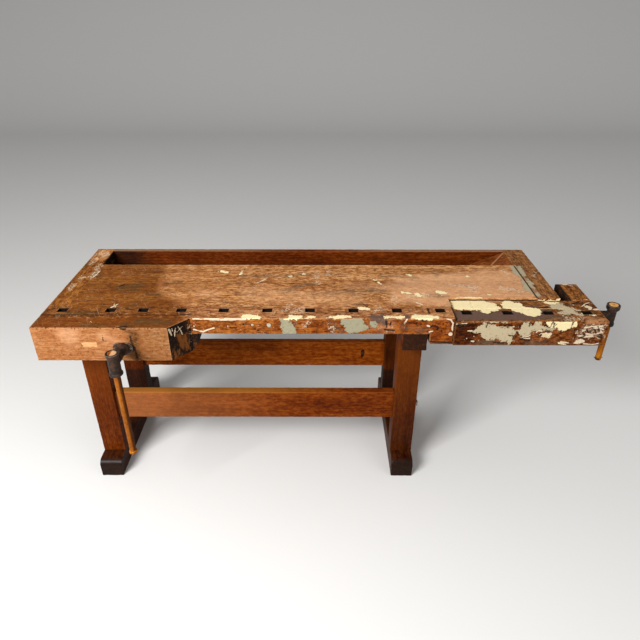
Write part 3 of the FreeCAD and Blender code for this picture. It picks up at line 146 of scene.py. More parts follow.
class Finish:
    """A material while it is being made."""

    def __init__(self, name, roughness=0.5, metallic=0.0, gloss_level=0.12):
        self.material = bpy.data.materials.new(name)
        self.material.use_nodes = True
        self.tree = self.material.node_tree
        self.shader = self.tree.nodes["Principled BSDF"]
        self.shader.inputs["Roughness"].default_value = roughness
        self.shader.inputs["Metallic"].default_value = metallic
        self.shader.inputs["Specular IOR Level"].default_value = gloss_level
        self.place = self.node("TexCoord", {}, {}, "Object")
        self.x, self.y, self.z = (self.node("SeparateXYZ", {}, {0: self.place}, name) for name in "XYZ")

    def node(self, kind, settings, sockets, output=0):
        """Adds a node: its settings first, then the values or wires of its sockets."""
        made = self.tree.nodes.new("ShaderNode" + kind)
        for name, value in settings.items():
            if name == "stops":
                ramp = made.color_ramp
                while len(ramp.elements) < len(value):
                    ramp.elements.new(1)
                for element, (at, colour) in zip(ramp.elements, value):
                    element.position = at
                    element.color = (*colour, 1)
            else:
                setattr(made, name, value)
        for name, value in sockets.items():
            plug(self.tree, value, made.inputs[name])
        return Wire(self.tree, made.outputs[output])

    def feed(self, socket, value):
        plug(self.tree, value, self.shader.inputs[socket])

    def mix(self, amount, first, second, blend="MIX"):
        """Colour that goes from first to second as amount goes from 0 to 1."""
        settings = {"data_type": "RGBA", "blend_type": blend}
        return self.node("Mix", settings, {0: amount, 6: first, 7: second}, 2)

    def shade(self, colour, amount, other):
        """Colour multiplied by another as far as amount says."""
        return self.mix(amount, colour, other, "MULTIPLY")

    def step(self, value, low, high):
        """0 below low, 1 above high and smooth between them."""
        settings = {"interpolation_type": "SMOOTHSTEP"}
        return self.node("MapRange", settings, {"Value": value, "From Min": low, "From Max": high})

    def between(self, value, low, high, soft):
        """1 from low to high and 0 outside."""
        return self.step(value, low - soft, low) * (1.0 - self.step(value, high, high + soft))

    def scaled(self, place, factors):
        return self.node("VectorMath", {"operation": "MULTIPLY"}, {0: place, 1: factors})

    def shifted(self, place, by):
        return self.node("VectorMath", {"operation": "ADD"}, {0: place, 1: by})

    def cloud(self, place, scale, detail=2.0, rough=0.5, twist=0.0):
        """Soft noise about 0.5, scale cells to the metre."""
        sockets = {"Vector": place, "Scale": scale, "Detail": detail, "Roughness": rough, "Distortion": twist}
        return self.node("TexNoise", {}, sockets)

    def brushed(self, name):
        """A value that was painted on the mesh."""
        return self.node("Attribute", {"attribute_name": name}, {}, "Fac")

    def relief(self, height, depth):
        """A bump of that depth in metres."""
        return self.node("Bump", {}, {"Height": height, "Distance": depth})


print("wires and finishes are ready")

# %% [markdown]
# Wood is a solid with fibres, and the best texture for it is solid too. The rings are sleeves round
# a pith line outside the piece, bent by slow noise. A cut through them shows long lines on a face
# and arcs on an end, with no seam between the two. Fine fibres, short flecks and pores lie on top.
# The function is told which axis the tree grew along, and how strongly the grain shows.

# %% Solid wood grain
GRAIN_ORDER = {"x": "xyz", "y": "yxz", "z": "zxy"}
PITH = (0.16, 0.05)


def grain(finish, along, seed, ring=0.009, boards=0.0, streaks=1.0, flecks=1.0):
    """Tone of the wood about 0.5, its fine pores, its fibres and its flecks, for one piece."""
    length, width, depth = (getattr(finish, name) for name in GRAIN_ORDER[along])
    luck = random.Random(seed)
    board_tone = 0.0
    if boards:
        board = ((width + luck.uniform(0, boards)) / boards).whole()
        chance = finish.node("TexWhiteNoise", {"noise_dimensions": "1D"}, {"W": board + seed}, "Value")
        length = length + chance * 3.0
        depth = depth + chance * 0.11
        board_tone = (chance - 0.5) * 0.20
        flecks = (finish.step(finish.x, -0.75, -0.35) * 0.5 + 0.5) * flecks
    sockets = {"X": length + luck.uniform(1, 9), "Y": width, "Z": depth}
    place = finish.node("CombineXYZ", {}, sockets)
    slow = finish.cloud(finish.scaled(place, (1.3, 9.0, 9.0)), 1.0, 2.0, 0.5)
    bend = (slow - 0.5) * 0.055
    across = width + PITH[0]
    down = depth + PITH[1]
    radius = (across * across + down * down) ** 0.5 + bend
    rings = (radius * (2 * math.pi / ring)).wave() * 0.5 + 0.5
    fibre = finish.cloud(finish.scaled(place, (7.0, 210.0, 210.0)), 1.0, 3.0, 0.62)
    streak = finish.cloud(finish.scaled(place, (2.4, 46.0, 46.0)), 1.0, 2.0, 0.55)
    fleck = finish.step(finish.cloud(finish.scaled(place, (38.0, 85.0, 85.0)), 1.0, 4.0, 0.72), 0.36, 0.64)
    pores = finish.step(finish.cloud(finish.scaled(place, (60.0, 720.0, 720.0)), 1.0, 1.0), 0.62, 0.74)
    tone = (rings ** 2.2) * -0.16 * streaks + (streak - 0.5) * 0.95 * streaks
    tone = tone + (fibre - 0.5) * 0.7 + (slow - 0.5) * 0.5 + (fleck - 0.5) * 0.42 * flecks
    return tone + board_tone + 0.55, pores, fibre, fleck


def timber_colour(finish, tone, dark, middle, light):
    """Colour of the wood from its tone."""
    stops = [(0.16, dark), (0.52, middle), (0.88, light)]
    return finish.node("ValToRGB", {"stops": stops}, {0: tone})


print("grain is ready")

# %% [markdown]
# Paint, stains and bare patches are put on one by one, as a scene painter would. Each is a short row of
# millimetres on one face of the bench. A patch is a closed outline, and a stroke starts with its
# brush radius. The mesh keeps how far each of its points lies inside the nearest of them. The shader
# adds noise to that distance and cuts it off sharply, so an edge is crisp and flaked at any zoom.

# %% Strokes of paint and stain
FACES = {
    "top": ((0, 1), (2, 1)), "front": ((0, 2), (1, -1)), "right": ((1, 2), (0, 1)), "left": ((1, 2), (0, -1)),
}
FAR_OUTSIDE = -0.06


def points_in(row):
    """Points in metres from a row of millimetres."""
    return tuple((x / 1000, y / 1000) for x, y in zip(row[::2], row[1::2]))


def patches(*rows):
    """Closed outlines filled with paint: x, y, x, y and so on."""
    outlines = [points_in(row) for row in rows]
    return [(points + points[:1], 0.0, True) for points in outlines]


def strokes(*rows):
    """Brush strokes: the radius first, then the points. A single point is a dab."""
    paths = [(row[0] / 1000, points_in(row[1:])) for row in rows]
    return [(points if len(points) > 1 else points * 2, radius, False) for radius, points in paths]


def depth_inside(places, mark):
    """How far each place lies inside a mark, in metres. Outside is negative."""
    points, radius, closed = mark
    nearest = np.full(len(places), 1e9)
    inside = np.zeros(len(places), bool)
    for (ax, ay), (bx, by) in zip(points, points[1:]):
        start = np.array((ax, ay))
        run = np.array((bx - ax, by - ay))
        reach = max(float(run @ run), 1e-12)
        share = np.clip(((places - start) @ run) / reach, 0, 1)
        gap = places - start - share[:, None] * run
        nearest = np.minimum(nearest, np.hypot(gap[:, 0], gap[:, 1]))
        if closed and ay != by:
            crosses = (ay > places[:, 1]) != (by > places[:, 1])
            crossing_x = ax + (places[:, 1] - ay) * (bx - ax) / (by - ay)
            inside ^= crosses & (places[:, 0] < crossing_x)
    if closed:
        return np.where(inside, nearest, -nearest)
    return radius - nearest


def count_marks(*layers):
    return sum(len(marks) for layer in layers for marks in layer.values())


print("strokes are ready")

# %% [markdown]
# The vise at the right end shows the most paint: cream on its top, violet-grey round the dog holes,
# grey-green over its front. The outlines below follow those patches.

# %% Where the old paint is
CREAM = {
    "top": patches(
        (455, -100, 462, -70, 490, -57, 585, -57, 602, -80, 636, -98, 640, -135, 628, -155, 600, -158, 585,
         -178, 570, -165, 557, -150, 490, -146, 459, -142),
        (653, -128, 657, -95, 672, -73, 690, -67, 705, -80, 712, -90, 730, -74, 741, -85, 738, -110, 755,
         -128, 785, -130, 797, -145, 790, -165, 775, -185, 750, -198, 730, -186, 710, -165, 685, -148, 665,
         -138),
        (822, -74, 840, -80, 880, -80, 888, -88, 860, -94, 828, -86),
        (-366, -234, -362, -206, -335, -199, -302, -202, -290, -220, -298, -234),
        (-186, -240, -184, -209, -150, -206, -136, -212, -146, -226, -165, -240),
        (-52, -226, -30, -215, 0, -208, 28, -206, 48, -213, 50, -224, 20, -233, -30, -231),
        (276, -234, 279, -211, 300, -202, 345, -205, 384, -213, 376, -238),
    ) + strokes(
        (10, -102, -218, -88, -218), (10, 92, -150, 118, -154), (8, 183, -222, 245, -218),
        (7, -142, -234, -111, -234), (10, 272, -17, 297, -20), (9, 328, -27, 336, -45),
        (10, 418, -8, 442, -16), (7, 431, 83), (8, 573, 138), (7, 621, -33), (7, 315, 155, 325, 150),
        (5, -877, -118, -869, -138), (10, -500, 185, -482, 178), (6, -196, 136, -190, 142), (5, -136, 160),
        (5, -418, 155, -405, 205), (4, 150, 115, 172, 98, 192, 60), (7, 986, -118, 992, -122),
        (6, 952, -170, 985, -186),
    ),
    "front": patches(
        (770, 819, 805, 816, 855, 815, 900, 817, 906, 790, 882, 780, 864, 771, 846, 773, 825, 785, 797, 785,
         779, 803),
    ) + strokes(
        (8, 792, 755, 806, 752), (7, 860, 717, 880, 713), (6, -345, 823, -300, 823),
        (4, -195, 821, -155, 820), (5, 300, 820, 350, 818),
    ),
}
GREEN = {
    "top": patches(
        (845, -135, 853, -107, 872, -93, 893, -94, 908, -115, 925, -135, 928, -165, 945, -180, 938, -192,
         915, -182, 880, -180, 848, -182, 862, -166, 885, -150),
        (790, 250, 812, 250, 812, 128, 800, 130, 785, 150, 780, 190),
        (816, 255, 838, 250, 834, 200, 828, 145, 816, 130),
        (812, 122, 803, 120, 790, 70, 786, 20, 792, -5, 802, -20, 805, -53, 812, -53),
        (816, 120, 828, 122, 833, 90, 831, 40, 829, -20, 824, -50, 816, -55),
    ),
    "front": patches(
        (500, 768, 518, 772, 533, 793, 547, 808, 575, 803, 600, 792, 628, 787, 650, 785, 660, 788, 675, 770,
         672, 735, 662, 710, 650, 722, 610, 733, 570, 730, 547, 742, 540, 762, 520, 763),
        (680, 775, 700, 800, 722, 811, 737, 795, 745, 813, 765, 817, 775, 797, 790, 790, 830, 782, 860, 780,
         860, 774, 810, 772, 770, 772, 737, 775, 733, 748, 705, 742, 690, 757),
        (-217, 825, -200, 825, -190, 815, -178, 805, -160, 800, -158, 775, -160, 750, -205, 750, -214, 785),
        (5, 820, 20, 825, 85, 825, 98, 810, 96, 793, 122, 792, 116, 775, 95, 765, 75, 757, 50, 753, 30, 770,
         20, 790),
    ) + strokes((11, 128, 797, 136, 795), (6, 560, 815, 640, 811)),
}
CHALK = {
    "top": strokes(
        (4, -545, -232.5, -480, -233, -351, -232.5), (3.5, -881, -147, -863, -119),
        (2, -1047, 119, -1038, 189), (2, -1061, 112, -1058, 197), (2.5, -1051, -85), (2.5, -1038, -78),
        (2.5, -1099, -238), (3.5, -1098, -283), (2.2, -644, -218), (2.8, -691, -254), (2.2, -652, -286),
        (3.5, -492, -191), (2.2, -840, -282), (2.5, -924, -253, -915, -262), (3.5, -139, 159, -131, 163),
        (3, -206, 139, -191, 129), (2.5, -418, 169, -395, 232), (2.5, -334, 70, -299, 109),
        (4.5, 316, -103, 336, -119), (3.5, 428, -40), (1.8, 470, 62, 520, 52, 560, 45),
        (1.8, 545, 40, 592, 28), (2, 556, 12, 575, 2), (1.8, 706, 30, 745, 24), (1.8, 714, 13, 752, 8),
        (1.8, 716, -4, 758, -12), (1.6, 735, -22, 762, -24), (3, -240, -181),
        (4, 967, 78, 983, 79, 1000, 64), (3, 951, -60, 1015, -58), (6.5, 985, -122, 1000, -124, 991, -138),
        (6.5, 1006, -142, 1022, -138), (2.8, 925, -125, 934, -147, 951, -147),
        (2.2, 968, -116, 992, -93, 1011, -84), (2.8, 932, -98, 940, -104),
    ),
    "front": patches((908, 714, 917, 730, 931, 735, 950, 729, 952, 720, 930, 712)) + strokes(
        (4.5, -545, 818.5, -480, 818), (8.5, -480, 819, -430, 818, -351, 820.5),
        (3, -548, 771, -529, 765, -513, 761, -496, 769, -470, 778), (3.5, -545, 785), (2.2, -450, 785),
        (2.8, -417, 786), (3, 411, 820, 427, 815, 437, 800, 436, 780, 438, 768), (8, 433, 752),
        (4, 261, 816, 254, 799), (4, 341, 790, 349, 787), (3, 364, 765, 351, 762),
        (2.5, 449, 800, 462, 801, 487, 803), (3.5, 496, 770, 511, 771), (3, 522, 746),
        (3, 515, 724, 524, 723), (1.8, 770, 753, 778, 760, 790, 757), (1.8, 789, 748, 780, 745),
        (2, 798, 748, 803, 761, 814, 762), (1.8, 817, 757, 809, 745), (2.8, 757, 764, 765, 772, 776, 770),
        (2.2, 707, 743, 728, 746, 737, 752), (2.2, 713, 736, 736, 737), (4, 863, 719, 875, 720, 890, 716),
        (3, 870, 710, 884, 709), (4.5, 925, 748, 950, 745, 975, 748), (4, 938, 785, 962, 790, 1000, 792),
        (3.5, 965, 782, 990, 784, 1010, 778), (3.5, 948, 758, 972, 756, 1003, 762),
        (3, 1000, 771, 1012, 762), (3, 931, 770, 944, 776), (3, 948, 713, 984, 710, 1004, 714),
    ),
}
VIOLET = {
    "top": patches(
        (448, -165, 500, -152, 560, -155, 585, -180, 605, -165, 650, -150, 690, -152, 720, -175, 745, -200,
         775, -195, 795, -180, 815, -160, 830, -172, 815, -205, 780, -216, 700, -224, 600, -226, 500, -224,
         448, -230),
    ) + strokes(
        (14, 135, -216, 168, -216), (12, 262, -218), (10, 760, -128, 790, -122), (12, 800, -150, 820, -165),
    ),
    "front": strokes((6, 955, 709, 1010, 708), (12, 130, 820, 180, 806)),
}
SAGE = {
    "front": strokes((8.5, -261, 791), (5, -324, 792)),
}
print("marks of paint:", count_marks(CREAM, GREEN, CHALK, VIOLET, SAGE))

# %% [markdown]
# Wear and dirt are marks as well, and a few marks are painted shade. Scuffs are worn and whitish, and
# stains grey-green or nearly black. Pale zones have been scrubbed bare; on the top they are partly a
# painted sheen as well. Brown ones still have their old varnish. Black marks are cracks, burns and nail
# holes. Beside the front hub a stain, a brown stroke and three black strokes are the hub's painted
# shadow on the jaw. Last come the marks that only one piece has, such as soot, which in the gaps
# between pieces is painted shade.

# %% Where the wood is stained, scuffed and bare
SCUFFS = {
    "top": strokes(
        (9, -1100, 405, -1108, 375), (10, -1075, 385, -1062, 335), (8, -1108, 320, -1100, 262),
        (9, -1062, 258, -1056, 190, -1054, 120), (7, -1100, 145, -1090, 90), (8, -1106, 50, -1100, 5),
        (5, 865, 195, 882, 180, 862, 130), (10, 740, 200, 758, 170), (7, -78, 170, -88, 120, -70, 70),
        (5, -35, 190, -28, 160), (13, -166, -178, -158, -160, -130, -155, -128, -178),
        (9, -205, -170, -188, -158), (7, -197, -133, -186, -118), (6, 221, -113, 237, -100),
        (9, 292, -54, 363, -34), (8, 140, -180, 165, -150), (10, 860, -215, 935, -212),
        (9, 480, 60, 590, 30), (9, 556, 12, 575, -8), (14, 700, 26, 760, -10), (7, 235, -50, 225, -80),
    ),
    "front": patches(
        (925, 770, 937, 790, 964, 796, 1015, 797, 1015, 750, 993, 742, 962, 739, 925, 738),
    ) + strokes(
        (10, 915, 765, 935, 790), (6, 555, 790, 600, 775), (7, -45, 784, -20, 776),
        (6, -130, 795, -110, 802),
    ),
}
STAINS = {
    "top": strokes(
        (5, -1131, -300, -1131, 436, -1060, 436), (24, -895, 22, -825, 45), (12, -870, -4, -820, 4),
        (15, -770, -30, -732, -36), (7, -793, -102, -759, -91), (12, -812, -134, -787, -124),
        (10, -721, 64, -662, 77), (14, -1040, 150, -1020, 130), (7, -466, -97, -450, -104),
        (6, -414, -127, -329, -136), (5, -543, -90, -523, -86),
        (9, -414, 138, -318, 130, -284, 139, -193, 129), (10, -215, 141, -133, 154, -15, 155),
        (15, -167, 38, -103, 63), (12, -224, -4, -166, 10), (12, -18, -12, 85, -6, 147, -7, 192, -2),
        (12, 90, -12, 140, 8, 173, 4), (6, -93, -28, -22, -30), (5, 76, -48, 110, -44),
        (8, 11, 150, 50, 150), (10, 206, 141, 280, 141), (7, 241, 63, 279, 63), (6, -453, 69, -407, 65),
        (6, -418, -23, -339, -33), (12, 430, 175, 440, 150), (12, 300, 130, 350, 120),
        (8, 380, -40, 450, -50), (10, 80, -125, 95, -118), (24, -735, -256, -690, -262, -630, -262),
        (10, -933, -284, -868, -286), (10, -807, -275, -784, -275),
        (12, -1062, -205, -990, -190, -930, -200), (14, 940, -165, 985, -172), (20, 810, -205, 870, -212),
        (8, 797, -150, 835, -160),
    ),
    "front": strokes(
        (18, 560, 712, 640, 708), (12, 730, 712, 850, 708), (10, -15, 790, 5, 775), (8, 250, 780, 330, 770),
        # The stroke from (-762, 800) down to (-757, 685) is the front hub's painted shadow on the jaw.
        (12, 350, 705, 430, 700), (9, -762, 800, -757, 740, -757, 685), (12, -800, 690, -770, 720),
    ),
}
# On the top the large pale patch and the wide strokes are partly wood worn bare and partly a painted sheen.
PALE = {
    "top": patches((180, -125, 420, -130, 830, -60, 830, 190, 550, 200, 250, 140)) + strokes(
        (50, -540, -30, -500, -40), (75, -330, -20, -120, -60, 50, -70), (50, 60, 50, 350, 20),
        (30, 480, 30, 640, 10), (14, 960, -222, 1025, -222),
    ),
    "front": strokes(
        (30, 130, 790, 190, 785), (20, -870, 790, -790, 740), (22, -1010, 797, -975, 797, -998, 765),
        (10, 950, 806, 1025, 806),
    ),
}
BLACK = {
    "top": strokes(
        (8.5, -795.5, -296.5, -782, -296.5), (2.5, 445.5, -231, 447.5, -139), (2, 451, -237, 451, -139),
        (5, -905, 40, -890, 52), (4, -610, -205, -560, -200), (6, 792, -172, 826, -168),
        (4, 352, -190, 352, -150), (3, 105, -120, 118, -140), (4, 935, -98, 975, -75),
    ),
    "front": strokes(
        (5, -795, 817.5, -781, 817.5), (2.5, 444.5, 680, 444.5, 820), (2.2, 567, 812, 563, 786),
        (2.2, 812, 812, 806, 790), (2.2, 887, 808, 884, 780), (2.5, 470, 752, 510, 748),
        (3, 455, 800, 490, 797), (4, 700, 735, 735, 728), (3, 600, 718, 640, 716), (3, 946, 778, 953, 765),
        (3.5, 977, 775, 984, 761), (3, 960, 772, 962, 764), (4, 996, 747, 1012, 742),
        (3.5, 928, 741, 942, 746), (3.5, 951, 706, 1006, 705), (2.8, 962, 787, 975, 776),
        (2.8, 985, 790, 994, 772), (3, 1000, 757, 1010, 750), (3, 935, 763, 945, 752),
        (3, 908, 729, 909, 744), (2.8, 817, 789, 818, 803), (2.2, 820, 792, 827, 800),
        (2.5, 724, 791, 726, 805), (3.5, 683, 766, 691, 752), (3.5, 656, 750, 670, 748),
        (4.5, 370, 788, 383, 782, 380, 772), (4, 361, 790, 354, 784), (4, 320, 814, 323, 809),
        (3.5, 400, 798), (4, 397, 766), (4, 315, 795), (3.2, 183, 808, 186, 782), (3, 201, 805, 199, 792),
        # The three strokes from x -767 to -755, here and on the next line, are the dark core of the front
        # hub's painted shadow on the jaw.
        (4, -356, 794), (3.5, -304, 769), (1.2, -866, 801, -870, 760), (3.5, -767, 785, -764, 740),
        (3, -763, 755, -759, 705), (2.5, -757, 735, -755, 690), (4, 180, 772, 215, 768),
        (3, 255, 801, 300, 800), (3, -410, 780, -385, 778), (3, 330, 720, 440, 712),
    ),
}
BROWN = {
    "top": patches((-1200, -400, -595, -400, -575, -140, -720, 0, -750, 300, -1200, 300)) + strokes(
        (4, 790, -190, 835, -150),
    ),
    "front": patches((420, 660, 520, 660, 535, 760, 520, 830, 420, 830)) + strokes(
        # The first stroke, along x -757, is the front hub's painted shadow on the jaw.
        (16, -757, 800, -755, 685), (6, 560, 705, 930, 703),
    ),
}
WHOLE_FACE = patches((-2000, -2000, 2000, -2000, 2000, 2000, -2000, 2000))
# Soot on the slab's front behind the tail vise and on the left faces of the tail arm and end block is painted
# shade in the gaps between pieces, on the arm partly dirt as well. On the jaw's slanted end it is the end
# grain's own dark colour.
OWN_MARKS = {
    "top_slab": {"soot": {"front": patches((400, 700, 840, 700, 840, 813.5, 400, 813.5))}},
    "dog_strip": {"soot": {
        "right": WHOLE_FACE,
        "front": patches((-620, 600, -520, 600, -524, 752, -620, 752)),
    }},
    "front_jaw": {
        "soot": {"right": WHOLE_FACE},
        "chalk": {"right": strokes(
            (2.6, -299, 812, -296, 798, -294, 783), (2.2, -279, 805, -283, 792, -286, 774),
            (2.2, -276, 787, -266, 794, -256, 801), (2.2, -271, 807, -264, 787, -260.5, 767),
            (1.2, -234, 801, -234, 763), (1.2, -290, 812, -289, 798),
        )},
        "scuff": {"right": strokes((4, -230, 790, -229, 728))},
        "amber": {"right": strokes(
            (8, -271, 768, -266, 744, -264, 710), (6, -252, 760, -252, 695), (6, -284, 705, -292, 682),
            (4, -240, 810, -238, 780),
        )},
    },
    "left_end_cap": {"soot": {"right": patches((258, 0, 1000, 0, 1000, 816, 258, 816))}},
    "tail_arm": {"soot": {"left": WHOLE_FACE, "top": strokes((14, 935, -62, 936, 80))}},
    "tail_end_block": {"soot": {"left": WHOLE_FACE}},
    "tail_dog_block": {"amber": {"front": strokes((7, 603, 800))}},
}
print("marks of wear:", count_marks(SCUFFS, STAINS, PALE, BLACK, BROWN))

# %% [markdown]
# Each wooden piece starts from its node's own mesh. Its arrises are eased with a bevel, because no
# old bench has a sharp edge. Two boards that are glued into one are the exception, so their shared
# edges can be spared. Then the piece is sliced into a fine grid, so that it can carry dents and the
# painted values. The dents are modelled, not only drawn: points near an arris move inwards where
# noise says that a chip is gone.

# %% Cut and ease
EASED_ANGLE = math.radians(28)
SHORTEST_ARRIS = 0.008
WIDE_BEVEL = 0.02
MERGE = 1e-5


def sharp_edges(solid, wanted):
    """Convex arrises long enough to ease, of those that are wanted."""
    found = []
    for edge in solid.edges:
        if edge.is_manifold and edge.calc_length() > SHORTEST_ARRIS:
            middle = (edge.verts[0].co + edge.verts[1].co) / 2
            if edge.calc_face_angle_signed() > EASED_ANGLE and wanted(middle):
                found.append(edge)
    return found


def ease(solid, edges, size):
    """Bevels edges and marks the new faces as arris."""
    if edges:
        mark = solid.faces.layers.int["arris"]
        made = bmesh.ops.bevel(
            solid, geom=edges, offset=size, offset_type="OFFSET", segments=3 if size < WIDE_BEVEL else 6,
            profile=0.5, affect="EDGES", clamp_overlap=False,
        )
        for face in made["faces"]:
            face[mark] = 1


def slice_up(solid, step):
    """Cuts the faces with planes across X, Y and Z, one step apart."""
    corners = [[vertex.co[axis] for vertex in solid.verts] for axis in range(3)]
    spans = sorted((max(values) - min(values), axis) for axis, values in enumerate(corners))
    for span, axis in spans:
        low = min(corners[axis])
        count = round(span / step)
        rest = solid.verts[:] + solid.edges[:] + solid.faces[:]
        for number in range(1, count):
            at = Vector((0, 0, 0))
            at[axis] = low + span * number / count
            across = Vector((0, 0, 0))
            across[axis] = 1
            cut = bmesh.ops.bisect_plane(solid, geom=rest, dist=MERGE / 10, plane_co=at, plane_no=across)
            rest = [
                item for item in cut["geom"]
                if item.is_valid and max(
                    (vertex.co[axis] for vertex in getattr(item, "verts", [item])), default=low
                ) > at[axis] + MERGE
            ]


def cut_finer(solid, wanted):
    """Cuts each wanted face into four."""
    faces = [face for face in solid.faces if wanted(face.calc_center_median(), face.normal)]
    edges = {edge for face in faces for edge in face.edges}
    bmesh.ops.subdivide_edges(solid, edges=list(edges), cuts=1, use_grid_fill=True)


def eased_solid(node, soft=0.0012, wide=0.0, wide_where=None, spare=None, part_at=None):
    """The node's shape with eased arrises. A few can be eased wider, and a few left sharp."""
    solid = bmesh.new()
    solid.from_mesh(nodes[node].data)
    solid.faces.layers.int.new("arris")
    bmesh.ops.remove_doubles(solid, verts=solid.verts, dist=MERGE)
    bmesh.ops.dissolve_limit(solid, angle_limit=math.radians(1), verts=solid.verts, edges=solid.edges)
    if part_at is not None:
        everything = solid.verts[:] + solid.edges[:] + solid.faces[:]
        plane = {"plane_co": (part_at, 0, 0), "plane_no": (1, 0, 0)}
        bmesh.ops.bisect_plane(solid, geom=everything, dist=MERGE / 10, **plane)
    if wide:
        ease(solid, sharp_edges(solid, wide_where), wide)
    ease(solid, sharp_edges(solid, lambda middle: not (spare and spare(middle))), soft)
    return solid


def mesh_of(solid, name):
    """The solid's mesh. The solid itself isn't needed any more."""
    mesh = bpy.data.meshes.new(name)
    solid.to_mesh(mesh)
    solid.free()
    return mesh


print("cutting and easing are ready")

# %% [markdown]
# The values that the finishes read are kept on the points of a mesh. Besides the strokes there are
# three: how near a point is to a worn arris, how far it stands out from its neighbours, and how deep
# it lies in a dog hole. The holes' walls and a ring round their rims are painted black: painted shade
# where the light hardly reaches, and the dust and oil of decades.

# %% Values on the points
HOLE_MARGIN = 0.0018
HOLE_DARK_BY = 0.006
HOLE_RIM = -0.0005
HOLE_HALO = 0.0055
HALO_STRENGTH = 0.5
FACE_BAND = 0.002
FACES_ENOUGH = 0.45
ARRIS_REACH = 0.012
DOG_HOLES = [
    opening["box_m"] for opening in frame["record"]["physics"]["openings"]
    if opening["name"].startswith("dog_hole")
]


def points_of(mesh, field):
    values = np.zeros(len(mesh.vertices) * 3, np.float32)
    if field == "co":
        mesh.vertices.foreach_get("co", values)
    else:
        mesh.vertex_normals.foreach_get("vector", values)
    return values.reshape(-1, 3).astype(float)


def add_values(mesh, name, values):
    layer = mesh.attributes.new(name, "FLOAT", "POINT")
    layer.data.foreach_set("value", values.astype(np.float32))


def brush_on(mesh, name, marks_on):
    """Keeps on each point how far it lies inside the strokes on the faces that it belongs to."""
    places = points_of(mesh, "co")
    normals = points_of(mesh, "normal")
    deepest = np.full(len(places), FAR_OUTSIDE)
    for face, marks in marks_on.items():
        (right, up), (axis, sign) = FACES[face]
        facing = normals[:, axis] * sign > FACES_ENOUGH
        seen = places[facing][:, (right, up)]
        for mark in marks:
            deepest[facing] = np.maximum(deepest[facing], depth_inside(seen, mark))
    add_values(mesh, name, deepest)


def hole_depth(mesh):
    """Keeps on each point how deep it lies in a dog hole: 1 from 6 mm down, and less round the rim."""
    places = points_of(mesh, "co")
    deep = np.zeros(len(places))
    for low, high in DOG_HOLES:
        outside = np.zeros(len(places))
        for axis in (0, 1):
            from_middle = np.abs(places[:, axis] - (low[axis] + high[axis]) / 2)
            outside = np.maximum(outside, from_middle - (high[axis] - low[axis]) / 2)
        down = np.clip((high[2] - HOLE_RIM - places[:, 2]) / HOLE_DARK_BY, 0, 1)
        deep = np.where(outside < HOLE_MARGIN, down, deep)
        # A ring on the top face round each hole's rim gets part of the same painted shade and dirt.
        on_face = places[:, 2] > high[2] - FACE_BAND
        halo = np.clip(1 - outside / HOLE_HALO, 0, 1) * HALO_STRENGTH
        deep = np.where(on_face, np.maximum(deep, halo), deep)
    add_values(mesh, "hollow", deep)


def arris_distance(mesh, on_arris):
    """Keeps on each point how near it is to an arris: 1 on it, 0 from 12 mm away."""
    tree = kdtree.KDTree(max(1, int(on_arris.sum())))
    for number in np.flatnonzero(on_arris):
        tree.insert(mesh.vertices[number].co, int(number))
    tree.balance()
    near = [1 - min(tree.find(vertex.co)[2] or 0, ARRIS_REACH) / ARRIS_REACH for vertex in mesh.vertices]
    add_values(mesh, "near_arris", np.array(near) if on_arris.any() else np.zeros(len(near)))


def standing_out(mesh):
    """How far each point stands out from its neighbours: near 0 on a flat face, more on a rim."""
    places = points_of(mesh, "co")
    normals = points_of(mesh, "normal")
    ends = np.zeros(len(mesh.edges) * 2, np.int32)
    mesh.edges.foreach_get("vertices", ends)
    ends = ends.reshape(-1, 2)
    bulge = np.zeros(len(places))
    count = np.zeros(len(places))
    for here, there in (ends.T, ends.T[::-1]):
        run = places[there] - places[here]
        lift = -(run * normals[here]).sum(axis=1) / np.maximum(np.hypot.reduce(run, axis=1), 1e-9)
        np.add.at(bulge, here, lift)
        np.add.at(count, here, 1)
    return bulge / np.maximum(count, 1)


print("dog holes:", len(DOG_HOLES))

# %% [markdown]
# Three functions make the pieces. One is for wood, and roughens it. One is for small ironwork, which
# is only eased, because a bolt head keeps its shape. The third is for castings, which are rounded
# all over.

# %% Make a piece
LAYERS = {
    "cream": CREAM, "green": GREEN, "violet": VIOLET, "chalk": CHALK, "sage": SAGE, "scuff": SCUFFS,
    "stain": STAINS, "pale": PALE, "brown": BROWN, "black": BLACK, "soot": {}, "amber": {},
}
WAVES_TO_THE_METRE = (23, 90)
CHIPS_TO_THE_METRE = (55, 16)
CHIPPED_FROM = (0.12, 0.35)
DENT = 0.0003
JOINT_REACH = 5e-5
JOINT_CLOSED_BY = 0.0006
RIM_FROM = 0.03
RIM_SPAN = 0.12


def rough_up(mesh, chip, seed):
    """Moves the points a little: slow waves on the faces, chips along the arrises."""
    places = points_of(mesh, "co")
    normals = points_of(mesh, "normal")
    on_arris = np.zeros(len(places), bool)
    marks = np.zeros(len(mesh.polygons), np.int32)
    mesh.attributes["arris"].data.foreach_get("value", marks)
    for polygon in mesh.polygons:
        if marks[polygon.index]:
            on_arris[list(polygon.vertices)] = True
    shift = np.zeros(len(places))
    far = Vector((seed * 1.7, seed * 0.9, seed * 2.3))
    for number, place in enumerate(places):
        spot = Vector(place)
        slow, quick = (noise.noise(spot * cells + far) for cells in WAVES_TO_THE_METRE)
        shift[number] = (slow + quick * 0.5) * DENT
        if on_arris[number]:
            for cells, start in zip(CHIPS_TO_THE_METRE, CHIPPED_FROM):
                shift[number] -= max(0, noise.noise(spot * cells + far) - start) * chip
    places += normals * shift[:, None]
    mesh.vertices.foreach_set("co", places.astype(np.float32).ravel())
    return on_arris


def smooth_over(mesh, angle=180):
    """Shades the mesh smooth, apart from edges sharper than the angle in degrees."""
    if angle < 180:
        mesh.set_sharp_from_angle(angle=math.radians(angle))
    for polygon in mesh.polygons:
        polygon.use_smooth = True


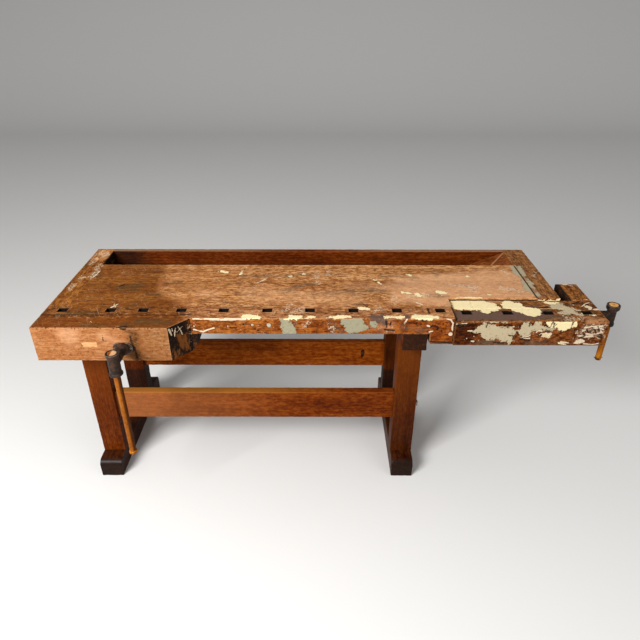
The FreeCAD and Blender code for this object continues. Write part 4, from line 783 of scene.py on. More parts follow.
def place_piece(name, mesh, node, finish):
    """Makes the object, puts it on its body in place of its node and gives it its material."""
    piece = add_object(name, mesh)
    mesh.materials.clear()
    mesh.materials.append(finish.material)
    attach(piece, body_of[node])
    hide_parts(node)
    return piece


def wooden(node, finish, step=0.012, finer=None, chip=0.002, painted=(), closed_up=None, **easing):
    """A wooden node with eased, dented arrises, and with the marks of those of its faces that are named."""
    solid = eased_solid(node, **easing)
    for vertex in solid.verts:
        if closed_up and abs(vertex.co.x - closed_up) < JOINT_REACH:
            vertex.co.x += JOINT_CLOSED_BY
    slice_up(solid, step)
    if finer:
        cut_finer(solid, finer)
    mesh = mesh_of(solid, node + "_wood")
    seed = sum(ord(letter) for letter in node) % 97
    on_arris = rough_up(mesh, chip, seed)
    if painted:
        own = OWN_MARKS.get(node, {})
        for layer, marks_on in LAYERS.items():
            shared = {face: marks_on.get(face, []) if face in painted else [] for face in FACES}
            brush_on(mesh, layer, {face: shared[face] + own.get(layer, {}).get(face, []) for face in FACES})
        hole_depth(mesh)
    arris_distance(mesh, on_arris)
    smooth_over(mesh, 35)
    return place_piece(node + "_wood", mesh, node, finish)


def ironmongery(node, finish):
    """Bolts, washers, keys and screws with softened edges."""
    mesh = mesh_of(eased_solid(node, soft=0.0005), node + "_iron")
    add_values(mesh, "near_arris", np.zeros(len(mesh.vertices)))
    smooth_over(mesh, 40)
    return place_piece(node + "_iron", mesh, node, finish)


def casting(node, finish, cell=0.0016, rounds=6):
    """A casting: the node's shape built again from small cells and smoothed, with nothing sharp on it."""
    pattern = add_object(node + "_pattern", nodes[node].data.copy())
    cells = pattern.modifiers.new("cells", "REMESH")
    cells.mode = "VOXEL"
    cells.voxel_size = cell
    soften = pattern.modifiers.new("soften", "SMOOTH")
    soften.factor = 0.5
    soften.iterations = rounds
    bpy.context.view_layer.update()
    smoothed = pattern.evaluated_get(bpy.context.evaluated_depsgraph_get())
    mesh = bpy.data.meshes.new_from_object(smoothed)
    bpy.data.objects.remove(pattern)
    smooth_over(mesh)
    add_values(mesh, "near_arris", np.clip((standing_out(mesh) - RIM_FROM) / RIM_SPAN, 0, 1))
    return place_piece(node + "_cast", mesh, node, finish)


print("the making functions are ready")

# %% [markdown]
# The bench top is beech that has been planed, varnished, worn through and painted over. Its finish
# is built in layers, from the wood up: tone of the boards, painted shade on the front faces, old brown
# varnish and beside the front hub its painted shadow, pale bare wood that is partly a painted sheen,
# dirt, stains and scratches, then the coats of paint with their flaked edges, and last the thin dark
# lines, one of them widened as painted shade in a joint's gap, and the black of the dog holes, which is
# painted shade and dirt. Each layer changes colour, gloss and relief together, which is what makes
# it read as a real layer.

# %% Marks that every worn surface has
def scratches(finish, angle, seed, rarity):
    """Thin straight scratches that run one way."""
    settings = {"rotation_type": "Z_AXIS"}
    turned = finish.node("VectorRotate", settings, {"Vector": finish.place, "Angle": math.radians(angle)})
    drawn_out = finish.scaled(turned, (7.0, 330.0, 330.0))
    lines = finish.cloud(finish.shifted(drawn_out, (seed, seed, seed)), 1.0, 1.0)
    return finish.step(lines, rarity, rarity + 0.035)


def specks(finish, scale, size, seed, ragged=0.0):
    """Small spots, most cells empty."""
    sockets = {"Vector": finish.shifted(finish.place, (seed, seed, seed)), "Scale": scale, "Randomness": 1.0}
    distance = finish.node("TexVoronoi", {}, sockets, "Distance")
    chance = finish.node("TexVoronoi", {}, sockets, "Color")
    luck = finish.node("SeparateColor", {}, {0: chance}, "Red")
    return finish.step((luck - 0.72) * size - distance + ragged, -0.02, 0.02)


def thin_line(finish, across, at, along, low, high, half_width):
    """A dark line where one coordinate has a value, between two values of another."""
    away = abs(getattr(finish, across) - at)
    line = 1.0 - finish.step(away, half_width * 0.6, half_width * 1.5)
    return line * finish.between(getattr(finish, along), low, high, 0.01)


def dark_lines(finish):
    """The old glue line behind the front vise, drawn wide as painted shade in its gap, and the line beside
    the right end cap.
    """
    on_top = finish.step(finish.z, 0.817, 0.8185)
    lines = thin_line(finish, "y", -0.207, "x", -1.12, -0.585, 0.0030) * 0.85
    lines = lines.highest(thin_line(finish, "x", 0.8085, "y", -0.060, 0.245, 0.0034))
    return lines * on_top


print("marks are ready")

# %% Finish of the worn and painted wood
CREAM_PAINT = (0.97, 0.80, 0.45)
GREEN_PAINT = (0.47, 0.39, 0.25)
CHALK_WHITE = (0.80, 0.63, 0.43)
VIOLET_PAINT = (0.135, 0.075, 0.052)
SAGE_PAINT = (0.50, 0.45, 0.33)
HOLE_SHADE_AND_DIRT = (0.010, 0.006, 0.004)
AGED = (0.66, 0.66, 0.66)

# Name, colour, how age changes it, how soon it chips and how much the noise frays its edge.
COATS = (
    ("violet", VIOLET_PAINT, (2.0, 2.3, 2.7), 0.62, 1.0),
    ("green", GREEN_PAINT, AGED, 0.60, 1.0),
    ("cream", CREAM_PAINT, AGED, 0.67, 0.75),
    ("chalk", CHALK_WHITE, AGED, 0.62, 0.15),
    ("sage", SAGE_PAINT, AGED, 0.62, 0.15),
)


def worn_wood(name, along, seed, shades, boards=0.0, streaks=0.5, flecks=1.2, front_painted_shade=None, grime=0.4,
              gloss=0.38, speckled=0.6, flaked=0.5, varnish_and_shadow_tint=(0.50, 0.38, 0.17), weathered=0.38,
              bleach=0.20, green=GREEN_PAINT):
    """Bare and varnished wood with stains, scratches and remains of five coats of paint."""
    finish = Finish(name, gloss_level=0.08)
    tone, pores, fibre, fleck = grain(finish, along, seed, boards=boards, streaks=streaks, flecks=flecks)
    colour = timber_colour(finish, tone, *shades)
    blotch = finish.cloud(finish.place, 5.0, 4.0, 0.6)
    mottled = finish.cloud(finish.shifted(finish.place, (seed * 0.7, 0.0, 0.0)), 26.0, 5.0, 0.68)
    grit = finish.cloud(finish.place, 105.0, 4.0, 0.72)
    fine = finish.cloud(finish.place, 360.0, 2.0, 0.6)
    slow, uneven, rough, quick = (cloud - 0.5 for cloud in (blotch, mottled, grit, fine))
    near = finish.brushed("near_arris")
    colour = finish.mix(finish.step(mottled, 0.50, 0.66) * 0.35, colour, shades[2])
    dull = 1.0 - finish.step(mottled + slow * 0.5, 0.36, 0.50)
    colour = finish.shade(colour, dull * grime, (0.50, 0.36, 0.27))
    # Painted shade: faces that look to the front are multiplied by a darker colour, which can change along X.
    if front_painted_shade:
        facing = finish.node("SeparateXYZ", {}, {0: finish.node("TexCoord", {}, {}, "Normal")}, "Y")
        first, second, low, high = front_painted_shade
        painted_shade_colour = finish.mix(finish.step(finish.x, low, high), first, second)
        colour = finish.shade(colour, finish.step(facing * -1.0, 0.35, 0.8), painted_shade_colour)
    colour = finish.shade(colour, pores * 0.5, (0.42, 0.30, 0.24))
    dirt = finish.step(grit + uneven * 0.9 - (fleck - 0.5) * 0.16, 0.56, 0.68)
    colour = finish.shade(colour, dirt * (grime + 0.25), (0.28, 0.18, 0.12))
    # Brown zones: old varnish, and beside the front hub the hub's painted shadow.
    varnish = finish.step(finish.brushed("brown") + slow * 0.10 + uneven * 0.06, -0.02, 0.03)
    colour = finish.shade(colour, varnish, varnish_and_shadow_tint)
    # Pale zones: wood worn bare, made stronger from x 0.1 to the right as a painted sheen.
    pale = finish.step(finish.brushed("pale") + slow * 0.10, -0.012, 0.035)
    bleach_and_sheen = finish.step(finish.x, 0.1, 0.35) * 0.36 + bleach
    colour = finish.mix(pale * (rough * 1.2 + bleach_and_sheen), colour, (0.84, 0.455, 0.24))
    stain = finish.step(finish.brushed("stain") + uneven * 0.07 + rough * 0.035, -0.018, 0.020)
    stain = stain * (1.0 - finish.step(fleck + rough * 0.8, 0.30, 1.0) * 0.6)
    stain_tint = finish.mix(finish.step(finish.x, -0.60, -0.30), (0.085, 0.058, 0.022), (0.18, 0.13, 0.085))
    colour = finish.mix(stain * 0.5, finish.shade(colour, stain * 0.6, (0.50, 0.50, 0.48)), stain_tint)
    lines = scratches(finish, 8, 3.1, 0.69).highest(scratches(finish, 62, 8.7, 0.70))
    lines = lines.highest(scratches(finish, -38, 5.3, 0.71))
    lines = lines * finish.step(finish.cloud(finish.place, 9.0, 2.0), 0.42, 0.60)
    colour = finish.mix(lines * 0.3, colour, (0.72, 0.47, 0.30))
    dust = finish.cloud(finish.scaled(finish.place, (120.0, 75.0, 75.0)), 1.0, 3.0, 0.7)
    dust = finish.step(dust, 0.62, 0.68)
    dust = dust * finish.step(blotch + uneven * 0.4, 0.42, 0.56) * speckled
    colour = finish.mix(dust * 0.55, colour, (0.78, 0.58, 0.42))
    wear = finish.step(near * 0.75 + rough * 0.9, 0.50, 0.8)
    colour = finish.mix(wear * 0.40, colour, shades[2])
    bruised = finish.step(near * 0.55 - rough * 1.3 - uneven * 0.6, 0.60, 0.70)
    colour = finish.shade(colour, bruised * 0.8, (0.16, 0.09, 0.06))
    burnt = finish.mix(finish.step(grit, 0.48, 0.70), (0.010, 0.005, 0.003), (0.050, 0.019, 0.009))
    # Soot: the dark end grain of the jaw's end, and painted shade in the gaps between pieces.
    soot = finish.step(finish.brushed("soot") + uneven * 0.012, -0.002, 0.002)
    colour = finish.mix(soot * (1.0 - finish.step(mottled - rough * 0.6, 0.52, 0.66) * 0.25), colour, burnt)
    trickle = finish.cloud(finish.scaled(finish.place, (170.0, 170.0, 32.0)), 1.0, 3.0, 0.65)
    amber = finish.step(finish.brushed("amber") + (trickle - 0.5) * 0.045 + rough * 0.012, -0.004, 0.004)
    colour = finish.mix(amber * 0.75, colour, (0.28, 0.090, 0.020))
    scuff = finish.step(finish.brushed("scuff") + uneven * 0.06 + rough * 0.05, -0.003, 0.003)
    scuff = scuff * finish.step(grit + quick * 0.6, 0.46, 0.62)
    colour = finish.mix(scuff * 0.75, colour, (0.80, 0.64, 0.45))
    ragged = uneven * 0.060 + rough * 0.034 + quick * 0.006
    paint = 0.0
    flaking = grit * 0.7 + mottled * 0.3
    for coat, shade, ageing, loss, frayed in COATS:
        if coat == "green":
            shade = green
        edge = finish.brushed(coat) + ragged * frayed + 0.0015 * frayed
        bare_from = loss - (flaked - 0.5) * 0.1
        chips = finish.step(flaking - edge * 1.2, bare_from, bare_from + 0.008)
        cover = finish.step(edge, 0.0, 0.0009) * (1.0 - chips)
        aged = tuple(part * change for part, change in zip(shade, ageing))
        worn = finish.mix(finish.step(grit, 0.48, 0.72) * weathered, shade, aged)
        rim = finish.step(edge, -0.0030, 0.0) * (1.0 - cover)
        colour = finish.shade(colour, rim * 0.5, (0.35, 0.25, 0.20))
        colour = finish.mix(cover, colour, worn)
        paint = cover.highest(paint)
    spread = finish.step(finish.x, -0.3, 0.5) * 0.6 + 0.4
    spots = specks(finish, 30.0, 0.50, seed, quick * 0.22) * spread * speckled
    colour = finish.mix(spots * 0.8, colour, (0.78, 0.62, 0.42))
    black = finish.step(finish.brushed("black") + rough * 0.014 + uneven * 0.008, -0.0015, 0.0015)
    dark_spots = specks(finish, 34.0, 0.40, seed + 4.0, quick * 0.25)
    pits = (black * 0.9).highest(dark_spots * 0.7)
    colour = finish.mix(pits, colour, burnt)
    colour = finish.mix(dark_lines(finish) * 0.92, colour, (0.030, 0.012, 0.005))
    # Dog holes: black down their walls and round their rims, painted shade where light hardly reaches, and
    # dirt.
    hollow = finish.step(finish.brushed("hollow") + rough * 0.5, 0.05, 0.5)
    colour = finish.mix(hollow, colour, HOLE_SHADE_AND_DIRT)
    finish.feed("Base Color", colour)
    finish.feed("Roughness", (1.0 - gloss) + stain * 0.1 + paint * 0.1 + rough * 0.25)
    height = fibre * 0.5 - pores * 0.6 - lines * 0.5 - pits * 0.6 + paint * 0.9 + rough * 0.6
    finish.feed("Normal", finish.relief(height, 0.00045))
    return finish


TOP_SHADES = ((0.19, 0.055, 0.009), (0.44, 0.170, 0.048), (0.76, 0.39, 0.16))
STRIP_SHADES = ((0.15, 0.043, 0.0075), (0.355, 0.132, 0.042), (0.64, 0.31, 0.13))
CAP_SHADES = ((0.11, 0.034, 0.006), (0.27, 0.100, 0.025), (0.46, 0.21, 0.07))
VISE_SHADES = ((0.060, 0.018, 0.003), (0.19, 0.062, 0.011), (0.46, 0.18, 0.050))
ARM_SHADES = ((0.085, 0.026, 0.004), (0.27, 0.090, 0.014), (0.46, 0.18, 0.045))
JAW_SHADES = ((0.27, 0.081, 0.020), (0.42, 0.158, 0.051), (0.57, 0.29, 0.125))
UNSHADED = (1.0, 1.0, 1.0)
# Painted shade on the front faces of the end caps.
CAP_FRONT_PAINTED_SHADE = ((0.8, 0.6, 0.4), (0.8, 0.6, 0.4), 0.0, 1.0)
top_finish = worn_wood("worn_top", "x", 11, TOP_SHADES, boards=0.062, streaks=0.35)
strip_finish = worn_wood("worn_strip", "x", 23, STRIP_SHADES, speckled=0.9, weathered=0.7,
                         # The strip's green is a darker copy of the paint: painted shade on its front.
                         green=(0.37, 0.335, 0.215),
                         # Painted shade on the strip's front, darker to the right.
                         front_painted_shade=((0.78, 0.56, 0.24), (0.66, 0.36, 0.08), -0.5, 0.45))
left_cap_finish = worn_wood("worn_left_cap", "y", 29, TOP_SHADES, front_painted_shade=CAP_FRONT_PAINTED_SHADE)
cap_finish = worn_wood("worn_right_cap", "y", 31, CAP_SHADES, front_painted_shade=CAP_FRONT_PAINTED_SHADE)
vise_finish = worn_wood("painted_vise", "x", 47, VISE_SHADES, speckled=1.0, grime=0.6, flecks=1.5, flaked=0.7,
                        green=(0.56, 0.45, 0.28),
                        # Painted shade on the vise's front.
                        front_painted_shade=((0.52, 0.38, 0.25), (0.66, 0.48, 0.30), 0.50, 0.60))
arm_finish = worn_wood("painted_arm", "y", 53, ARM_SHADES)
jaw_finish = worn_wood("jaw_face", "x", 61, JAW_SHADES, streaks=0.35, flecks=0.7, gloss=0.3, speckled=0.3,
                       grime=0.25, bleach=0.45, varnish_and_shadow_tint=(0.44, 0.30, 0.10),
                       # Painted shade on the jaw's front, darker to the right of the front hub.
                       front_painted_shade=(UNSHADED, (0.73, 0.72, 0.66), -0.80, -0.74))
print("worn finishes:", 7)

# %% [markdown]
# The trestles were never worked on, so their varnish is whole: a deep red-brown coat over wood whose
# grain still shows. A thin clear coat on the shader gives the gloss of varnish over the wood's own
# soft sheen. Dirt has darkened parts of them: the feet are almost black at their ends. The lower ends
# of the rear legs are a painted shadow in near black. Such a part is a zone, which is a mask worked
# out from the coordinates, and a colour. The right legs take a darker copy of the leg colours as
# painted shade, and the rear stretcher a lighter copy of the rail colours as painted light.

# %% Zones by their coordinates
def beyond(axis, at, soft=0.002):
    """1 where the coordinate is more than a value."""
    return lambda finish: finish.step(getattr(finish, axis), at - soft, at + soft)


def short_of(axis, at, soft=0.002):
    """1 where the coordinate is less than a value."""
    return lambda finish: 1.0 - finish.step(getattr(finish, axis), at - soft, at + soft)


def both(first, second):
    """1 where two masks are."""
    return lambda finish: first(finish) * second(finish)


def faint(mask, strength):
    """A weaker mask."""
    return lambda finish: mask(finish) * strength


def near_path(first, second, half_width):
    """1 near the straight line through two points, seen from above."""
    (ax, ay), (bx, by) = first, second
    reach = math.hypot(bx - ax, by - ay)
    across, along = (by - ay) / reach, (bx - ax) / reach
    return lambda finish: 1.0 - finish.step(
        abs((finish.x - ax) * across - (finish.y - ay) * along), half_width * 0.6, half_width * 1.4)


def near_axis(x, y, radius):
    """1 near an upright axis."""
    return lambda finish: 1.0 - finish.step(
        ((finish.x - x) ** 2.0 + (finish.y - y) ** 2.0) ** 0.5, radius * 0.6, radius * 1.4)


print("zones are ready")

# %% Finish of the varnished trestles
DRAWN_OUT = {"x": (2.5, 26.0, 26.0), "y": (26.0, 2.5, 26.0), "z": (26.0, 26.0, 2.5)}


def varnished(name, along, seed, shades, coat=0.04, roughness=0.5, grime=0.5, streaks=0.45, flecks=0.7,
              zones=()):
    """Stained wood under varnish, darker in its hollows and rubbed at its arrises."""
    finish = Finish(name, roughness, gloss_level=0.05)
    tone, pores, fibre, _ = grain(finish, along, seed, ring=0.012, streaks=streaks, flecks=flecks)
    colour = timber_colour(finish, tone, *shades)
    drawn = finish.cloud(finish.scaled(finish.place, DRAWN_OUT[along]), 1.0, 3.0, 0.6)
    blotch = finish.cloud(finish.shifted(finish.place, (0.0, seed * 0.3, 0.0)), 8.0, 4.0, 0.6)
    grit = finish.cloud(finish.place, 120.0, 3.0, 0.65)
    near = finish.brushed("near_arris")
    colour = finish.shade(colour, pores * 0.5, (0.40, 0.30, 0.26))
    colour = finish.shade(colour, finish.step(drawn, 0.48, 0.66) * grime, (0.40, 0.26, 0.20))
    colour = finish.shade(colour, finish.step(blotch, 0.48, 0.70) * grime, (0.45, 0.32, 0.26))
    rubbed = finish.step(near * 0.8 + (grit - 0.5) * 1.1, 0.55, 0.9)
    colour = finish.mix(rubbed * 0.5, colour, shades[2])
    knocks = specks(finish, 22.0, 0.36, seed)
    colour = finish.shade(colour, knocks * 0.6, (0.3, 0.22, 0.18))
    for mask_of, tint in zones:
        colour = finish.mix(mask_of(finish) * ((grit - 0.5) * 0.9 + 0.80), colour, tint)
    finish.feed("Base Color", colour)
    finish.feed("Roughness", (grit - 0.5) * 0.3 + roughness + rubbed * 0.15)
    finish.feed("Coat Weight", (1.0 - finish.step(blotch, 0.5, 0.75) * 0.6) * coat)
    finish.shader.inputs["Coat Roughness"].default_value = 0.28
    height = fibre * 0.6 - pores * 0.5 - knocks * 0.9 + (grit - 0.5) * 0.4
    finish.feed("Normal", finish.relief(height, 0.00035))
    return finish


foot_low, foot_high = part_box("left_foot")
_, rail_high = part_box("front_stretcher")
bearer_low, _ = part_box("right_bearer")
board_low, board_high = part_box("tray_back_board")
tail_bar_low, tail_bar_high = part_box("tail_bar")
_, slab_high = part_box("top_slab")
front_bar_low, front_bar_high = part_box("front_bar")
ramp_low, ramp_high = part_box("tray_ramp")
ALMOST_BLACK = (0.010, 0.005, 0.003)
LEG_SHADES = ((0.045, 0.006, 0.0006), (0.112, 0.020, 0.0012), (0.19, 0.045, 0.006))
# A darker copy of the leg colours for the right trestle: painted shade.
LEG_SHADES_PAINTED_DARKER = ((0.030, 0.0045, 0.0005), (0.072, 0.0130, 0.001), (0.125, 0.031, 0.004))
RAIL_SHADES = ((0.080, 0.012, 0.001), (0.185, 0.033, 0.002), (0.29, 0.073, 0.009))
REAR_RAIL_PAINTED_LIGHTER = ((0.14, 0.022, 0.001), (0.31, 0.058, 0.002), (0.45, 0.12, 0.012))
FOOT_SHADES = ((0.016, 0.004, 0.001), (0.045, 0.010, 0.002), (0.095, 0.026, 0.006))
TRAY_SHADES = ((0.030, 0.005, 0.0005), (0.110, 0.019, 0.0015), (0.23, 0.052, 0.006))
RAMP_SHADES = ((0.100, 0.024, 0.004), (0.235, 0.064, 0.012), (0.40, 0.14, 0.04))
BAR_SHADES = ((0.18, 0.040, 0.002), (0.42, 0.125, 0.005), (0.60, 0.22, 0.02))
FRONT_BAR_SHADES = ((0.12, 0.025, 0.002), (0.27, 0.070, 0.005), (0.42, 0.14, 0.015))
BEECH_SHADES = ((0.20, 0.09, 0.032), (0.36, 0.18, 0.072), (0.48, 0.28, 0.13))
PATCH_SHADES = ((0.62, 0.27, 0.10), (0.78, 0.40, 0.17), (0.88, 0.52, 0.26))
PLUG_SHADES = ((0.19, 0.045, 0.008), (0.33, 0.085, 0.014), (0.42, 0.13, 0.03))

board_top = beyond("z", board_high.z - 0.0015, 0.001)
bar_x = (front_bar_low.x + front_bar_high.x) / 2
front_bar_top = beyond("z", front_bar_high.z - 0.003, 0.001)
tail_bar_x = (tail_bar_low.x + tail_bar_high.x) / 2
tail_bar_y = (tail_bar_low.y + tail_bar_high.y) / 2
tail_bar_foot = both(short_of("z", tail_bar_low.z + 0.012, 0.006), beyond("x", 0.9))
tail_bar_end = both(beyond("z", tail_bar_high.z - 0.004, 0.001), beyond("x", 0.9))
# Painted shadow: the lower ends of the rear legs, near black.
shadowed_foot = (both(beyond("y", 0.2), short_of("z", 0.25, 0.012)), ALMOST_BLACK)
# The right legs are darker towards the bottom.
darker_low_end = (faint(short_of("z", 0.24, 0.10), 0.35), (0.020, 0.008, 0.004))
leg_finish = varnished("varnished_left_legs", "z", 71, LEG_SHADES, grime=0.6, zones=(
    (faint(beyond("z", 0.45, 0.20), 0.65), (0.23, 0.050, 0.004)), shadowed_foot,
))
right_legs_painted_shade = varnished("varnished_right_legs", "z", 72, LEG_SHADES_PAINTED_DARKER, grime=0.7, zones=(
    (faint(beyond("z", 0.42, 0.20), 0.55), (0.21, 0.050, 0.005)), darker_low_end, shadowed_foot,
))
rail_finish = varnished("varnished_front_rail", "x", 73, RAIL_SHADES, flecks=1.0, grime=0.4, zones=(
    (faint(short_of("x", -0.55, 0.45), 0.55), (0.46, 0.17, 0.060)),
    (both(beyond("z", rail_high.z - 0.003, 0.001), short_of("x", -0.2, 0.3)), (0.34, 0.13, 0.020)),
))
# The rear stretcher takes lighter colours than the front one: painted light in its shade.
rear_rail_painted_light = varnished("varnished_rear_rail", "x", 74, REAR_RAIL_PAINTED_LIGHTER, flecks=1.0, grime=0.4)
bearer_finish = varnished("varnished_bearers", "y", 79, LEG_SHADES, zones=(
    (short_of("y", bearer_low.y + 0.0015, 0.001), (0.010, 0.007, 0.004)),
))
foot_finish = varnished("dirty_feet", "y", 83, FOOT_SHADES, grime=0.8, coat=0.12, zones=(
    (short_of("y", foot_low.y + 0.020, 0.015), ALMOST_BLACK),
))
tray_finish = varnished("tray_boards", "x", 89, TRAY_SHADES, zones=(
    (short_of("x", -0.90, 0.08), ALMOST_BLACK),
    (both(board_top, short_of("x", -0.35, 0.25)), (0.26, 0.145, 0.080)),
    (both(board_top, beyond("x", 0.15, 0.25)), (0.31, 0.175, 0.105)),
))
ramp_finish = varnished("tray_ramp", "x", 97, RAMP_SHADES, zones=(
    (near_path((ramp_low.x, slab_high.y), (ramp_high.x, board_low.y), 0.004), (0.42, 0.20, 0.08)),
))
front_bar_finish = varnished("oiled_front_bar", "z", 100, FRONT_BAR_SHADES, coat=0.08, grime=0.35, zones=(
    # Painted shade: the bar's right-hand side is darker. Its top end is lighter, partly worn end grain and
    # partly a painted highlight.
    (beyond("x", bar_x + 0.007, 0.004), (0.060, 0.013, 0.002)),
    (both(front_bar_top, beyond("x", bar_x - 0.004, 0.003)), (0.72, 0.40, 0.20)),
))
bar_finish = varnished("oiled_tail_bar", "z", 101, BAR_SHADES, coat=0.08, grime=0.35, zones=(
    (tail_bar_end, (0.78, 0.42, 0.14)),
    (both(tail_bar_end, near_axis(tail_bar_x, tail_bar_y, 0.006)), (0.50, 0.18, 0.03)),
    (both(tail_bar_foot, short_of("x", tail_bar_x)), ALMOST_BLACK),
))
inner_finish = varnished("plain_beech", "x", 103, BEECH_SHADES, coat=0.0, roughness=0.7)
patch_finish = varnished("let_in_patch", "x", 107, PATCH_SHADES, coat=0.0, roughness=0.6, grime=0.1,
                         streaks=0.4)
plug_finish = varnished("round_plug", "y", 109, PLUG_SHADES)
print("varnished finishes:", 13)

# %% [markdown]
# The hubs and collar plates are grey iron castings. Cast iron keeps the grain of the sand that it
# was poured in, so its relief is pebbled. A thin brown rust and old grease dull it. The rims are
# lighter, partly polished by hands and partly a painted highlight. The screws and bolts are steel:
# smoother, a little lighter, rusty in places.

# %% Finish of the iron
def iron(name, seed, base, rust, grain_depth=0.0006, roughness=0.5, metallic=0.85):
    """Metal with rust and grease in soft patches, and rims lighter as worn polish and as a painted highlight.
    """
    finish = Finish(name, roughness, metallic, 0.3)
    blotch = finish.cloud(finish.shifted(finish.place, (seed, 0.0, 0.0)), 42.0, 4.0, 0.6)
    sand = finish.cloud(finish.place, 520.0, 3.0, 0.6)
    near = finish.brushed("near_arris")
    rusty = finish.step(blotch + (sand - 0.5) * 0.25, 0.46, 0.60)
    colour = finish.mix(rusty, base, rust)
    # Rims: lighter as worn polish and as a painted highlight.
    polish_and_highlight = finish.step(near + (sand - 0.5) * 0.6, 0.45, 0.95) * 0.5
    colour = finish.mix(polish_and_highlight, colour, (0.30, 0.24, 0.19))
    finish.feed("Base Color", colour)
    finish.feed("Metallic", metallic - rusty * 0.55)
    finish.feed("Roughness", (sand - 0.5) * 0.25 + rusty * 0.2 - polish_and_highlight * 0.15 + roughness)
    finish.feed("Normal", finish.relief(sand + blotch * 0.6, grain_depth))
    return finish


cast_finish = iron("cast_iron", 1.0, (0.060, 0.040, 0.028), (0.050, 0.022, 0.010), metallic=0.6)
black_iron_finish = iron("blackened_iron", 5.0, (0.022, 0.014, 0.010), (0.055, 0.022, 0.009),
                         grain_depth=0.0009, metallic=0.5)
steel_finish = iron("old_steel", 3.0, (0.26, 0.22, 0.19), (0.12, 0.055, 0.024), grain_depth=0.0002,
                    roughness=0.4)
print("metal finishes:", 3)

# %% [markdown]
# Now every wooden piece is made. The pieces near the camera get the finest slices. The outer
# arrises of the top and of the two vises are worn rounder than the rest, so each of them has a
# wider bevel there. Boards that meet in one flat surface keep their shared edges sharp.

# %% The top and the vises
LINE_REACH = 0.004
JAW_RIGHT_END = -0.552
BOTH_FACES = ("top", "front")


def top_front_line(low, high):
    """Says whether a point lies on the top front arris of a box."""
    return lambda spot: abs(spot.y - low.y) < LINE_REACH and abs(spot.z - high.z) < LINE_REACH


strip_low, strip_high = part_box("dog_strip")
_, cap_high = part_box("left_end_cap")
jaw_low, jaw_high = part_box("front_jaw")
vise_low, vise_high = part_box("tail_dog_block")
end_low, end_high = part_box("tail_end_block")


def flush_joint(spot):
    """The glued joints of the top, which have been planed flush."""
    behind_strip = abs(spot.y - strip_high.y) < 0.002
    beside_cap = abs(spot.x - cap_high.x) < 0.002 and spot.y > strip_high.y - 0.002
    behind_jaw = abs(spot.y - strip_low.y) < 0.003 and spot.x < JAW_RIGHT_END
    return spot.z > slab_high.z - LINE_REACH and (behind_strip or beside_cap or behind_jaw)


def worn_front(spot):
    """The front arris of the strip, where the vise doesn't cover it."""
    return spot.x > JAW_RIGHT_END and top_front_line(strip_low, slab_high)(spot)


def on_top(centre, normal):
    """The faces that are seen from above."""
    return normal.z > 0.5


def on_show(centre, normal):
    """The faces that are seen from above and from the front."""
    return normal.z > 0.5 or normal.y < -0.5


def slanted(centre, normal):
    """The slanted end of the front jaw."""
    return normal.x > FACES_ENOUGH


wooden("top_slab", top_finish, step=0.008, soft=0.0007, spare=flush_joint, finer=on_top, painted=("top",))
wooden("dog_strip", strip_finish, step=0.006, wide=0.003, wide_where=worn_front, part_at=JAW_RIGHT_END,
       spare=flush_joint, finer=on_show, painted=BOTH_FACES)
wooden("front_jaw", jaw_finish, step=0.006, wide=0.0035, wide_where=top_front_line(jaw_low, jaw_high),
       spare=flush_joint, finer=slanted, painted=BOTH_FACES)
wooden("left_end_cap", left_cap_finish, step=0.006, spare=flush_joint, painted=BOTH_FACES,
       closed_up=cap_high.x)
wooden("right_end_cap", cap_finish, step=0.006, painted=BOTH_FACES)
wooden("tail_dog_block", vise_finish, step=0.005, wide=0.004, wide_where=top_front_line(vise_low, vise_high),
       finer=on_show, painted=BOTH_FACES)
wooden("tail_end_block", vise_finish, step=0.005, soft=0.0015, wide=0.006,
       wide_where=top_front_line(end_low, end_high), finer=on_show, painted=BOTH_FACES)
for node in ("tail_jaw_block", "tail_cover"):
    wooden(node, vise_finish, step=0.006, painted=BOTH_FACES)
wooden("tail_arm", arm_finish, step=0.006, wide=0.003, painted=BOTH_FACES,
       wide_where=lambda spot: spot.z > vise_high.z - LINE_REACH)
print("top and vises are shaped")

# %% The tray
wooden("tray_back_board", tray_finish)
wooden("tray_floor", tray_finish, step=0.014, soft=0.0006)
wooden("tray_ramp", ramp_finish, step=0.01, soft=0.0006)
print("tray is shaped")

# %% The trestles
def rounded_toe(spot):
    """The arris across the top of a foot's front end."""
    return spot.y < foot_low.y + 0.02 and spot.z > foot_high.z - 0.03


for end in ("left", "right"):
    wooden(end + "_foot", foot_finish, step=0.01, soft=0.003, wide=0.024, wide_where=rounded_toe)
    wooden(end + "_bearer", bearer_finish, soft=0.002)
    for row in ("front", "rear"):
        wooden("%s_%s_leg" % (end, row), leg_finish if end == "left" else right_legs_painted_shade, soft=0.002)
wooden("front_stretcher", rail_finish, soft=0.002)
wooden("rear_stretcher", rear_rail_painted_light, soft=0.002)
print("trestles are shaped")

# %% The small wooden pieces
wooden("front_bar", front_bar_finish, step=0.006, soft=0.0016, chip=0.001)
wooden("tail_bar", bar_finish, step=0.006, soft=0.001, chip=0.001)
wooden("jaw_patch", patch_finish, step=0.006, soft=0.0003)
wooden("tail_plug", plug_finish, step=0.004, soft=0.0004)
for node in ("tail_guide_bar", "tail_guide_bracket", "tail_runner", "tail_nut_block"):
    wooden(node, inner_finish, soft=0.001)
print("small wooden pieces are shaped")

# %% The castings
for node in ("front_hub", "tail_hub"):
    casting(node, black_iron_finish)
for node in ("front_collar_plate", "tail_collar_plate"):
    casting(node, cast_finish, cell=0.0011, rounds=3)
print("castings are shaped")

# %% [markdown]
# What is left is ironmongery and a few hidden parts. Bolts, washers and keys get softened edges.
# Screws with a modelled thread, and pieces whose shape is already right, keep their own mesh and
# only take their material.

# %% The other nodes
SLOT_FINISHES = {
    "steel": steel_finish, "cast_iron": cast_finish, "inner_wood": inner_finish, "bar_wood": bar_finish,
}
MOST_FACES_EASED = 2500

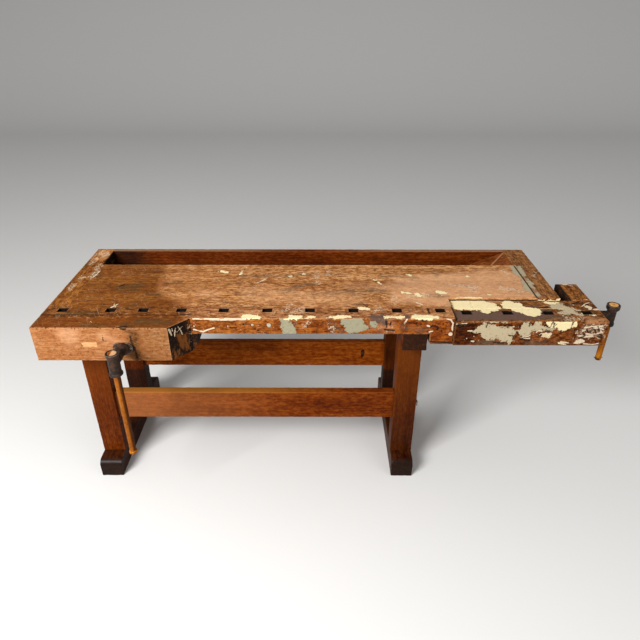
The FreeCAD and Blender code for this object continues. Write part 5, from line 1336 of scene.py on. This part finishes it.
for name, node in sorted(nodes.items()):
    slot_name = node.data.materials[0].name
    if not node.hide_render:
        chosen = black_iron_finish if name.endswith(("_nuts", "_key")) else SLOT_FINISHES[slot_name]
        if slot_name in ("steel", "cast_iron") and len(node.data.polygons) < MOST_FACES_EASED:
            ironmongery(name, chosen)
        else:
            node.data.materials[0] = chosen.material
        print(name, len(node.data.polygons), "faces, takes", chosen.material.name)

# %% [markdown]
# The stage is a pale floor that curves up into a backdrop, with soft studio light. The floor is
# pale to the camera and greyer to the light that bounces from it, so the bench isn't lit from below.

# %% Floor, backdrop and light
FLOOR_PALE = (0.80, 0.79, 0.77)
FLOOR_BOUNCE = (0.16, 0.155, 0.15)
STAGE_HALF_WIDTH = 14.0
STAGE_FRONT = -8.0
STAGE_BACK = 7.0
STAGE_CURVE = 3.0
STAGE_HEIGHT = 9.0
CURVE_STEPS = 12
SKY_LIGHT = 0.42
BENCH_MIDDLE = Vector((0.0, -0.05, 0.6))

stage_finish = Finish("studio_floor", 0.9)
seen = 0.0
for ray in ("Is Transmission Ray", "Is Glossy Ray", "Is Camera Ray"):
    seen = stage_finish.node("LightPath", {}, {}, ray).highest(seen)
stage_finish.feed("Base Color", stage_finish.mix(seen, FLOOR_BOUNCE, FLOOR_PALE))

stage = bmesh.new()
outline = [(STAGE_FRONT, 0.0), (STAGE_BACK, 0.0)]
for number in range(1, CURVE_STEPS + 1):
    angle = math.radians(90 * number / CURVE_STEPS)
    outline.append((STAGE_BACK + STAGE_CURVE * math.sin(angle), STAGE_CURVE * (1 - math.cos(angle))))
outline.append((STAGE_BACK + STAGE_CURVE, STAGE_HEIGHT))
left, right = (
    [stage.verts.new((side * STAGE_HALF_WIDTH, y, z)) for y, z in outline] for side in (-1, 1)
)
for number in range(len(outline) - 1):
    stage.faces.new((left[number], right[number], right[number + 1], left[number + 1]))
stage_mesh = mesh_of(stage, "studio_floor")
stage_mesh.materials.append(stage_finish.material)
smooth_over(stage_mesh)
studio_floor = add_object("studio_floor", stage_mesh)

world = bpy.data.worlds.new("studio")
bpy.context.scene.world = world
world.use_nodes = True
sky = world.node_tree.nodes["Background"]
sky.inputs["Color"].default_value = (1, 1, 1, 1)
sky.inputs["Strength"].default_value = SKY_LIGHT


def softbox(name, place, size, power):
    """A square studio lamp that faces the bench. The camera doesn't see it."""
    lamp = bpy.data.lights.new(name, "AREA")
    lamp.shape = "SQUARE"
    lamp.size = size
    lamp.energy = power
    holder = add_object(name, lamp)
    facing = BENCH_MIDDLE - Vector(place)
    holder.matrix_world = Matrix.Translation(place) @ facing.to_track_quat("-Z", "Y").to_matrix().to_4x4()
    holder.visible_camera = False


softbox("key", (-2.4, -3.0, 2.9), 1.8, 250)
softbox("fill", (2.6, -2.6, 2.2), 2.4, 20)
print("stage and lamps are set")
